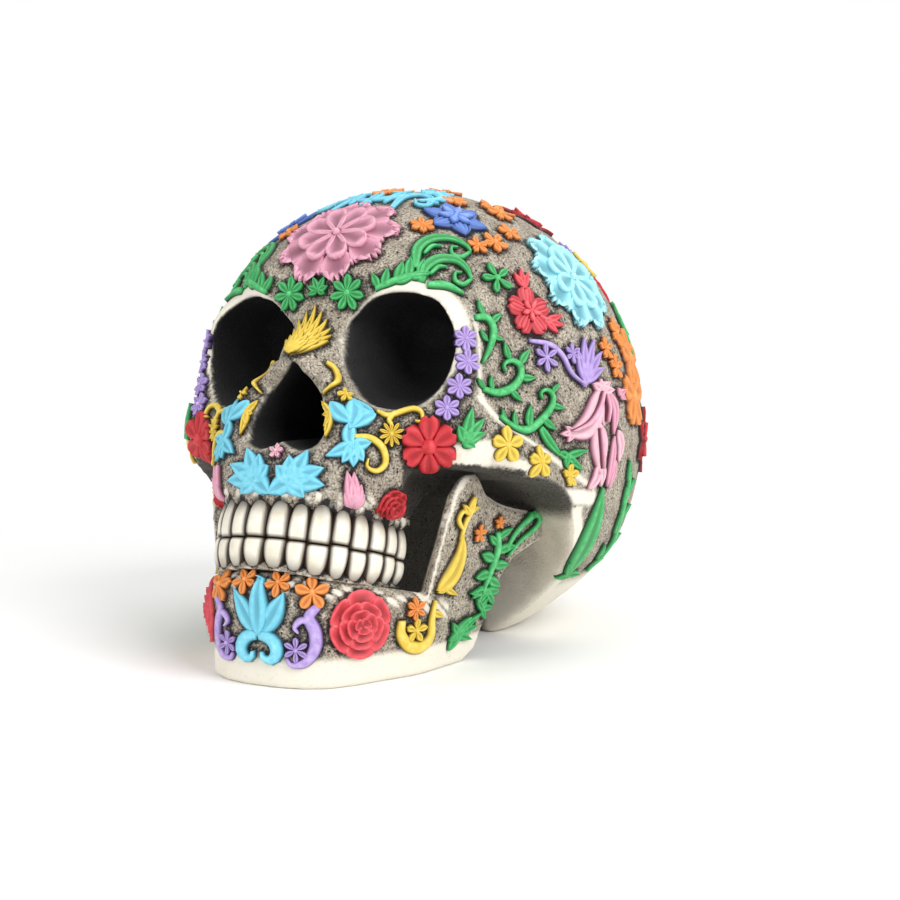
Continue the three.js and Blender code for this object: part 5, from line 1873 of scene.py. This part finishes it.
PAIRED: tuple[Ornament, ...] = (
    Ornament("crown_blossom", Pixel(455, 219), Paint.BLUE, double_blossom(6, 10.0)),
    Ornament("crown_swirl", Pixel(415, 203), Paint.CYAN, strokes(
        ([(392, 208), (403, 199), (418, 196), (431, 200), (428, 207), (417, 207), (415, 203)], 3.2),
        ([(385, 202), (398, 195), (412, 193)], 2.6), section=GROOVE)),
    Ornament("brow_spray", Pixel(408, 274), Paint.GREEN,
        vine([(377, 284), (392, 281), (410, 277), (428, 276)], 2.4, [
            (384, 285, 75, 6), (396, 282, 70, 7), (407, 279, 78, 7.5), (418, 277, 70, 6.5),
            (394, 282, 20, 7), (408, 278, 14, 7), (380, 284, 110, 5)])),
    Ornament("brow_daisy", Pixel(348, 293), Paint.GREEN, flower(7, 5.3, 2.9)),
    Ornament("brow_scroll", Pixel(445, 260), Paint.GREEN, together(
        strokes(
            ([(415, 268), (418, 248), (432, 238), (450, 238), (465, 245), (470, 252)], 3.8),
            ([(422, 280), (425, 268), (438, 260), (455, 261), (466, 269), (471, 279)], 3.8),
            section=GROOVE),
        strokes(
            ([(470, 252), (461, 258), (452, 256), (451, 249), (457, 249)], 1.7),
            ([(471, 279), (463, 284), (455, 281), (455, 274), (461, 274)], 1.7),
            ([(428, 283), (446, 285), (463, 294)], 3.2),
            ([(424, 254), (432, 247), (441, 248)], 1.6),
            ([(430, 274), (438, 268), (446, 269)], 1.6)))),
    Ornament("temple_daisy", Pixel(496, 279), Paint.GREEN, flower(5, 5.2, 2.6), turn=18),
    Ornament("temple_hibiscus", Pixel(528, 312), Paint.ROSE, hibiscus(7.8)),
    Ornament("hibiscus_buds", Pixel(530, 300), Paint.ROSE, together(
        burst((523, 287), [(513, 274), (520, 269), (527, 274)], 2.8),
        burst((546, 321), [(561, 316), (563, 326), (557, 333)], 2.8),
        strokes(([(526, 300), (524, 290)], 1.5), ([(538, 316), (548, 321)], 1.5)))),
    Ornament("temple_dahlia", Pixel(570, 279), Paint.LIT_CYAN, dahlia(9, 8, 18.5)),
    Ornament("temple_lotus", Pixel(586, 365), Paint.PURPLE, together(
        burst((584, 380), [(575, 350), (582, 338), (592, 340), (600, 352), (602, 368)], 4.6),
        strokes(([(535, 339), (552, 344), (563, 356), (571, 373), (584, 386)], 2.0)))),
    Ornament("temple_star", Pixel(545, 358), Paint.PURPLE, flower(6, 4.4, 2.1)),
    Ornament("temple_starlet", Pixel(571, 354), Paint.PURPLE, flower(6, 3.2, 1.7)),
    Ornament("temple_scroll", Pixel(508, 375), Paint.GREEN, vine(
        [(480, 390), (496, 393), (511, 388), (519, 377),
         (518, 366), (510, 361), (502, 365), (503, 372)], 2.9,
        [(509, 361, 110, 5.5), (518, 365, 50, 6), (519, 378, 0, 5.5), (509, 389, -45, 5),
         (490, 392, 95, 4.5), (482, 390, 130, 4)])),
    Ornament("temple_crook", Pixel(487, 337), Paint.GREEN, vine(
        [(474, 318), (486, 318), (492, 330), (489, 346), (481, 363)], 2.9,
        [(483, 317, 100, 5), (490, 323, 35, 5), (491, 336, -20, 4), (486, 342, 130, 4)])),
    Ornament("arch_scroll", Pixel(530, 412), Paint.GREEN, vine(
        [(497, 417), (511, 428), (526, 430), (538, 422), (549, 409),
         (552, 397), (546, 390), (539, 393), (540, 399)], 2.9,
        [(514, 429, 95, 5), (528, 429, 85, 7), (550, 405, -10, 5), (541, 418, -35, 6),
         (503, 423, 110, 4), (551, 393, 45, 4)])),
    Ornament("arch_leaf", Pixel(562, 448), Paint.GREEN, together(
        strokes(([(541, 428), (548, 441), (558, 455)], 3.6), section=GROOVE),
        burst((566, 456), [(556, 452), (573, 462), (586, 450), (582, 470), (564, 468)], 3.0))),
    Ornament("orbit_blossom_a", Pixel(465, 339), Paint.PURPLE, flower(6, 3.7, 2.6)),
    Ornament("orbit_blossoms", Pixel(467, 362), Paint.PURPLE, flower(6, 3.7, 2.6)),
    Ornament("orbit_blossom_c", Pixel(459, 387), Paint.PURPLE, flower(6, 3.7, 2.5)),
    Ornament("orbit_blossom_d", Pixel(447, 409), Paint.PURPLE, flower(6, 3.7, 2.5)),
    Ornament("nose_bird", Pixel(352, 422), Paint.CYAN, together(
        leaf_strokes(
            ([(353, 399), (363, 406), (374, 414)], 4.2), ([(331, 401), (338, 412), (352, 424)], 5.0),
            ([(353, 397), (355, 412), (350, 430)], 6.6), ([(376, 415), (364, 418), (352, 429)], 5.0),
            ([(351, 422), (349, 438), (353, 450)], 4.4)),
        burst((354, 445), [(371, 442), (363, 461), (353, 467), (342, 463), (326, 456)], 4.4))),
    Ornament("nose_scroll", Pixel(332, 378), Paint.YELLOW,
        strokes(([(325, 365), (334, 369), (338, 377), (335, 385), (328, 387)], 2.6))),
    Ornament("nose_petals", Pixel(330, 415), Paint.YELLOW,
        burst((331, 414), [(325, 402), (326, 416), (328, 428), (329, 438)], 2.4)),
    Ornament("nose_flower", Pixel(345, 396), Paint.YELLOW, flower(5, 2.2, 1.5)),
    Ornament("cheek_curl", Pixel(402, 416), Paint.YELLOW, strokes(
        ([(377, 413), (388, 417), (400, 413), (412, 410), (421, 413), (422, 421), (415, 421)], 2.0),
        ([(394, 415), (389, 421), (393, 426)], 1.7))),
    Ornament("cheek_daisy", Pixel(391, 434), Paint.YELLOW, flower(10, 3.6, 1.2)),
    Ornament("cheek_scroll", Pixel(374, 452), Paint.YELLOW,
        strokes(([(355, 436), (370, 438), (382, 448), (385, 463), (376, 471), (366, 467), (367, 459)], 2.3))),
    Ornament("cheek_flower", Pixel(429, 446), Paint.RED,
        (Ring(Blade(6.4, 6.6, root=1.8, profile=Profile.HEART, section=GROOVE, height=2.4), 6),
         Button(2.6, 3.0))),
    Ornament("cheek_leaf", Pixel(471, 430), Paint.GREEN,
        burst((465, 440), [(472, 408), (483, 419), (484, 433), (474, 447), (458, 426)], 4.0)),
    Ornament("arch_blossom", Pixel(507, 445), Paint.YELLOW, flower(5, 5.2, 4.0)),
    Ornament("arch_blossom_b", Pixel(540, 462), Paint.YELLOW, flower(5, 4.7, 3.6)),
    Ornament("arch_blossom_c", Pixel(568, 476), Paint.YELLOW, flower(5, 3.6, 3.0)),
    Ornament("lip_leaf", Pixel(292, 480), Paint.CYAN, burst(
        (290, 480),
        [(268, 493), (277, 466), (290, 456), (308, 451), (324, 468), (324, 485), (304, 496)], 6.6)),
    Ornament("lip_feather", Pixel(352, 490), Paint.PINK,
        burst((354, 506), [(347, 471), (354, 472), (364, 494), (344, 492), (361, 484)], 4.4)),
    Ornament("molar_rose", Pixel(392, 508), Paint.RED, rose(5.0)),
    Ornament("molar_flower", Pixel(371, 514), Paint.PINK, flower(5, 2.4, 1.6)),
    Ornament("side_lily", Pixel(594, 420), Paint.BLUSH, together(
        leaf_strokes(
            ([(601, 386), (597, 404), (592, 419), (583, 429), (567, 435)], 9.4),
            ([(601, 388), (604, 404), (601, 426)], 7.6), ([(596, 422), (600, 446), (602, 474)], 10.0),
            ([(600, 462), (600, 478), (592, 489)], 5.0), ([(602, 462), (606, 474), (605, 486)], 4.6),
            ([(619, 430), (625, 444), (622, 462)], 5.4)),
        burst((602, 390), [(592, 384), (600, 379), (610, 382), (614, 390)], 4.0),
        burst((574, 433), [(566, 426), (562, 434), (568, 442)], 2.4))),
    Ornament("side_lily_deep", Pixel(610, 414), Paint.PINK, together(
        leaf_strokes(
            ([(608, 392), (614, 410), (611, 434)], 5.0), ([(613, 436), (614, 458), (612, 486)], 4.2),
            ([(617, 460), (618, 474), (614, 488)], 3.6)),
        burst((620, 394), [(616, 388), (625, 390), (624, 400)], 2.8),
        strokes(
            ([(600, 392), (596, 408), (588, 423), (576, 431)], 1.7),
            ([(597, 428), (600, 448), (602, 468)], 1.8),
            ([(602, 394), (604, 408), (602, 422)], 1.4), lift=1.5))),
    Ornament("side_leaf", Pixel(589, 537), Paint.GREEN, together(
        leaf_strokes(([(570, 580), (582, 552), (596, 518), (606, 490)], 12.5)),
        burst((573, 577), [(564, 582), (570, 564), (584, 576)], 3.6))),
    Ornament("side_vine", Pixel(617, 515), Paint.GREEN,
        vine([(632, 472), (626, 492), (619, 516), (612, 545), (596, 574)], 4.0, [
            (629, 484, 122, 9), (625, 496, 48, 8), (622, 508, 125, 9), (619, 520, 45, 8),
            (615, 534, 130, 9), (611, 548, 40, 8), (604, 562, 135, 9), (599, 570, 30, 7)])),
    Ornament("side_orange_a", Pixel(614, 333), Paint.ORANGE, flower(6, 5.0, 3.2)),
    Ornament("side_orange_b", Pixel(604, 349), Paint.ORANGE, flower(5, 3.8, 2.6)),
    Ornament("side_orange_c", Pixel(614, 367), Paint.ORANGE, flower(5, 4.2, 2.8)),
    Ornament("side_orange_d", Pixel(628, 358), Paint.ORANGE, flower(5, 10.0, 9.0, Profile.HEART)),
    Ornament("side_orange_e", Pixel(632, 396), Paint.ORANGE, flower(5, 10.5, 9.4, Profile.HEART)),
    Ornament("chin_star", Pixel(312, 593), Paint.ORANGE, flower(5, 4.8, 3.4), bed=Bed.JAW),
    Ornament("chin_starlet", Pixel(279, 584), Paint.ORANGE, flower(5, 3.8, 2.6), bed=Bed.JAW, turn=30),
    Ornament("chin_scroll", Pixel(305, 634), Paint.PURPLE, together(
        strokes(
            ([(318, 606), (309, 617), (315, 632), (315, 648), (306, 662), (292, 665), (287, 659)], 4.0),
            ([(312, 624), (302, 620), (295, 627), (299, 633)], 2.2)),
        flower_at(296, 650, 6, 3.5, 1.8)), bed=Bed.JAW),
    Ornament("jaw_rose", Pixel(360, 625), Paint.ROSE, rose(9.4), bed=Bed.JAW),
    Ornament("jaw_orange", Pixel(415, 609), Paint.ORANGE, flower(6, 3.2, 2.0), bed=Bed.JAW),
    Ornament("jaw_crescent", Pixel(417, 632), Paint.YELLOW, together(
        strokes((
            [(402, 621), (401, 635), (409, 646), (421, 646), (430, 636), (431, 618), (434, 600)], 4.2)),
        lone_leaf(432, 612, -20, 5, 2.6), flower_at(415, 630, 5, 3.6, 2.4)), bed=Bed.JAW),
    Ornament("branch_scroll", Pixel(452, 560), Paint.YELLOW, together(
        leaf_strokes(([(436, 590), (451, 575), (459, 555), (460, 534)], 8.6)),
        strokes(
            ([(459, 540), (464, 522), (470, 510), (473, 497)], 2.0),
            ([(462, 530), (457, 520), (461, 511), (467, 515)], 1.7)),
        burst((467, 512), [(461, 504), (472, 496), (476, 506)], 2.4),
        burst((444, 588), [(436, 592), (454, 594)], 2.4)), bed=Bed.JAW),
    Ornament("branch_star", Pixel(478, 533), Paint.ORANGE, flower(5, 2.8, 1.9), bed=Bed.JAW),
    Ornament("branch_starlet", Pixel(498, 522), Paint.ORANGE, flower(5, 2.0, 1.4), bed=Bed.JAW),
    Ornament("branch_loop", Pixel(528, 522), Paint.GREEN,
        strokes((
            [(509, 551), (515, 535), (526, 520), (535, 514),
             (538, 519), (533, 529), (521, 541), (511, 556)], 2.6)), bed=Bed.JAW),
    Ornament("branch_leaf", Pixel(494, 567), Paint.GREEN, together(
        vine([(497, 532), (496, 550), (489, 570), (478, 592)], 3.4, [
            (497, 538, 35, 6), (496, 544, 150, 6), (496, 551, 15, 8), (493, 559, 165, 8),
            (492, 565, 0, 8), (488, 573, 185, 8), (486, 578, -20, 8), (482, 586, 205, 7)]),
        burst((484, 590), [(466, 592), (497, 590), (490, 604), (472, 602)], 3.4)), bed=Bed.JAW),
    Ornament("branch_frond", Pixel(458, 632), Paint.GREEN, together(
        leaf_strokes(([(446, 650), (456, 634), (468, 616)], 6.0)),
        burst((456, 634), [(450, 622), (474, 624), (468, 638), (446, 640), (478, 612)], 3.2)), bed=Bed.JAW),
    Ornament("branch_tip", Pixel(481, 606), Paint.GREEN,
        burst((480, 608), [(474, 598), (484, 597), (490, 606), (482, 618)], 2.8), bed=Bed.JAW),
    Ornament("crown_orange_a", Pixel(422, 227), Paint.ORANGE, flower(6, 3.8, 2.6)),
    Ornament("crown_orange_b", Pixel(454, 203), Paint.ORANGE, flower(6, 4.2, 2.8)),
    Ornament("crown_orange_c", Pixel(499, 215), Paint.ORANGE, flower(5, 4.4, 3.0)),
    Ornament("crown_orange_d", Pixel(508, 234), Paint.ORANGE, flower(5, 4.0, 2.8)),
    Ornament("crown_orange_e", Pixel(494, 244), Paint.ORANGE, flower(5, 4.2, 3.0), turn=30),
    Ornament("crown_orange_f", Pixel(477, 247), Paint.ORANGE, flower(5, 3.4, 2.4)),
    Ornament("rear_orange", Direction(112, 60), Paint.ORANGE, flower(5, 6.4, 4.4)),
    Ornament("rear_daisy", Direction(100, 76), Paint.CYAN, flower(7, 5.4, 2.8)),
    Ornament("rear_ruby", Direction(137, 50), Paint.RED, double_blossom(6, 10.0)),
    Ornament("rear_vine", Direction(160, 47), Paint.GREEN, tendril(34, 3.2, 260, 6), turn=40),
    Ornament("rear_crown", Direction(160, 70), Paint.ORANGE, flower(6, 6.4, 3.8)),
    Ornament("rear_yellow", Direction(128, 33), Paint.YELLOW, flower(5, 5.8, 4.4)),
    Ornament("rear_rose", Direction(146, 25), Paint.RED, rose(10.6)),
    Ornament("rear_leaf", Direction(164, 19), Paint.GREEN, acanthus(27, 12, 20, 5), turn=20),
    Ornament("rear_curl", Direction(134, 11), Paint.GREEN, tendril(32, 3.2, -270, 6), turn=-20),
    Ornament("rear_star_side", Direction(147, 3), Paint.CYAN, hibiscus(12.0)),
    Ornament("rear_swirl", Direction(163, -2), Paint.GREEN, tendril(34, 3.2, 260, 6), turn=10),
    Ornament("rear_ruby_low", Direction(126, -10), Paint.RED, double_blossom(6, 11.0)),
    Ornament("rear_star", Direction(148, -16), Paint.BLUE, flower(5, 6.6, 4.4)),
    Ornament("rear_frond", Direction(164, -19), Paint.GREEN, acanthus(24, 11, -20, 5), turn=-60),
    Ornament("rear_ember", Direction(144, -30), Paint.ORANGE, flower(5, 4.8, 3.4)),
    Ornament("rear_twig", Direction(143, -8), Paint.GREEN, tendril(30, 3.0, -250, 5), turn=30),
    Ornament("rear_spark", Direction(152, 14), Paint.ORANGE, flower(5, 4.6, 3.2)),
    Ornament("rear_bud", Direction(139, 18), Paint.PURPLE, flower(6, 4.4, 2.4)),
    Ornament("rear_drop", Direction(157, -12), Paint.ORANGE, flower(5, 4.2, 3.0)),
    Ornament("rear_petal", Direction(140, 36), Paint.PURPLE, flower(6, 4.8, 2.6)),
    Ornament("summit_vine", Direction(75, 78), Paint.CYAN, tendril(22, 2.8, 250, 4), turn=60),
)

CREAM_LINES: tuple[tuple[Sequence[Point], float], ...] = (
    (((412, 474), (440, 468), (470, 463), (500, 461), (526, 468), (543, 486), (551, 498)), 1.9),
    (((480, 398), (497, 418), (518, 433), (545, 452), (566, 468), (594, 488)), 1.0),
    (((440, 462), (465, 455), (488, 452)), 3.6),
    (((474, 316), (478, 334), (480, 360), (480, 386), (486, 405), (500, 421)), 0.7),
    (((556, 498), (575, 497), (592, 498)), 2.4),
)


@dataclass
class Ornaments:
    """All painted reliefs, laid on their castings."""

    cast: Cast
    foot_crease: float = 0.99
    stroke_steps: int = 60
    feet: list[Array] = field(default_factory=list)

    def finish(self, piece: Object, ornament: Ornament, node: str) -> None:
        """Dresses a laid relief and ties it to the frame."""
        select_only(piece)
        bpy.ops.object.shade_smooth()
        ornament.paint.value.dress(piece)
        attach(piece, BODY)
        ornament.paint.slot
        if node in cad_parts:
            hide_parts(node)
        self.feet.append(coordinates(piece)[get_attribute(piece, "crease") > self.foot_crease])

    @staticmethod
    def mirrored(piece: Object, name: str) -> Object:
        """Copies a relief to the other side of the skull."""
        copy = bpy.data.objects.new(name, piece.data.copy())
        bpy.context.scene.collection.objects.link(copy)
        select_only(copy)
        mirror = partial(bpy.ops.transform.resize, value=(-1, 1, 1), center_override=(0, 0, 0))
        edit_mesh(mirror, bpy.ops.mesh.flip_normals)
        return copy

    def add(self, ornament: Ornament, paired: bool) -> None:
        """Models an ornament, lays it, and mirrors it where it has a pair."""
        ground = self.cast.jaw if ornament.bed is Bed.JAW else self.cast.cranium
        seat = ornament.spot.seat(ground)
        if not paired:
            place = Vector((0.0, seat.origin.y, seat.origin.z))
            out = Vector((0.0, seat.out.y, seat.out.z)).normalized()
            across = Vector((1.0, 0.0, 0.0))
            seat = Seat(place, across, out.cross(across), out)
        motif = ornament.drawing(seat) if callable(ornament.drawing) else ornament.drawing
        suffix = "_left" if paired else ""
        piece = build_motif(motif, f"{ornament.name}{suffix}_relief")
        ground.lay(piece, seat, ornament.turn)
        if paired:
            copy = self.mirrored(piece, f"{ornament.name}_right_relief")
            self.finish(copy, ornament, f"{ornament.name}_right")
        self.finish(piece, ornament, f"{ornament.name}{suffix}")
        LOG.info("%s: %d faces", piece.name, len(piece.data.polygons))

    def build(self) -> None:
        """Makes every ornament."""
        for ornament in MIDLINE:
            self.add(ornament, paired=False)
        for ornament in PAIRED:
            self.add(ornament, paired=True)

    def cream_lines(self) -> list[tuple[Array, float]]:
        """Places along the cream strokes on both sides."""
        lines = []
        for pixels, half in CREAM_LINES:
            places = []
            for u, v in spline(np.array(pixels, float), self.stroke_steps):
                hit = self.cast.cranium.tree.ray_cast(VIEW.origin(), VIEW.ray(u, v))[0]
                if hit is not None:
                    places += [tuple(hit), (-hit.x, hit.y, hit.z)]
            lines.append((np.array(places), half))
        return lines


# Studio.


@dataclass(frozen=True)
class Lamp:
    """A soft square lamp aimed at the skull."""

    name: str
    place: Place
    size: float
    power: float

    def build(self, target: Vector) -> None:
        """Hangs the lamp and turns it to its target."""
        data = bpy.data.lights.new(self.name, "AREA")
        data.shape = "SQUARE"
        data.size = self.size
        data.energy = self.power
        lamp = bpy.data.objects.new(self.name, data)
        lamp.location = self.place
        lamp.rotation_euler = (target - Vector(self.place)).to_track_quat("-Z", "Y").to_euler()
        bpy.context.scene.collection.objects.link(lamp)


@dataclass(frozen=True)
class Studio:
    """A white paper floor under even, soft light."""

    floor_size: float = 6.0
    lamps: tuple[Lamp, ...] = (
        Lamp("key", (1.15, -0.45, 0.85), 0.9, 15.0),
        Lamp("fill", (-0.5, -1.1, 0.5), 1.0, 4.5),
        Lamp("top", (0.1, 0.3, 1.2), 1.0, 5.0),
    )
    aim: Place = (0.0, -0.02, 0.075)
    sky: float = 0.55

    def build(self) -> None:
        """Lays the floor, hangs the lamps and lights the sky."""
        bpy.ops.object.select_all(action="DESELECT")
        bpy.ops.mesh.primitive_plane_add(size=self.floor_size)
        floor = bpy.context.view_layer.objects.active
        floor.name = "studio_floor"
        StudioPaper().dress(floor)
        for lamp in self.lamps:
            lamp.build(Vector(self.aim))
        world = bpy.data.worlds.new("studio_sky")
        bpy.context.scene.world = world
        world.use_nodes = True
        tree = world.node_tree
        tree.nodes.clear()
        seen = add_node(tree, "ShaderNodeLightPath").outputs["Is Camera Ray"]
        spread = {"Value": seen, "To Min": self.sky, "To Max": 1.0}
        strength = add_node(tree, "ShaderNodeMapRange", spread).outputs["Result"]
        sky = add_node(tree, "ShaderNodeBackground", {"Color": WHITE, "Strength": strength})
        add_node(tree, "ShaderNodeOutputWorld", {"Surface": sky.outputs[0]})
        bpy.context.scene.view_settings.view_transform = "Standard"


def main() -> None:
    """Builds the skull, its teeth, its ornaments and the studio."""
    logging.basicConfig(level=logging.INFO, format="%(name)s %(message)s")
    VIEW.build()
    cast = Cast()
    cast.build()
    Teeth().build()
    ornaments = Ornaments(cast)
    ornaments.build()
    CastPaint(cast).build(np.vstack(ornaments.feet), ornaments.cream_lines())
    Studio().build()


if __name__ == "__main__":
    main()
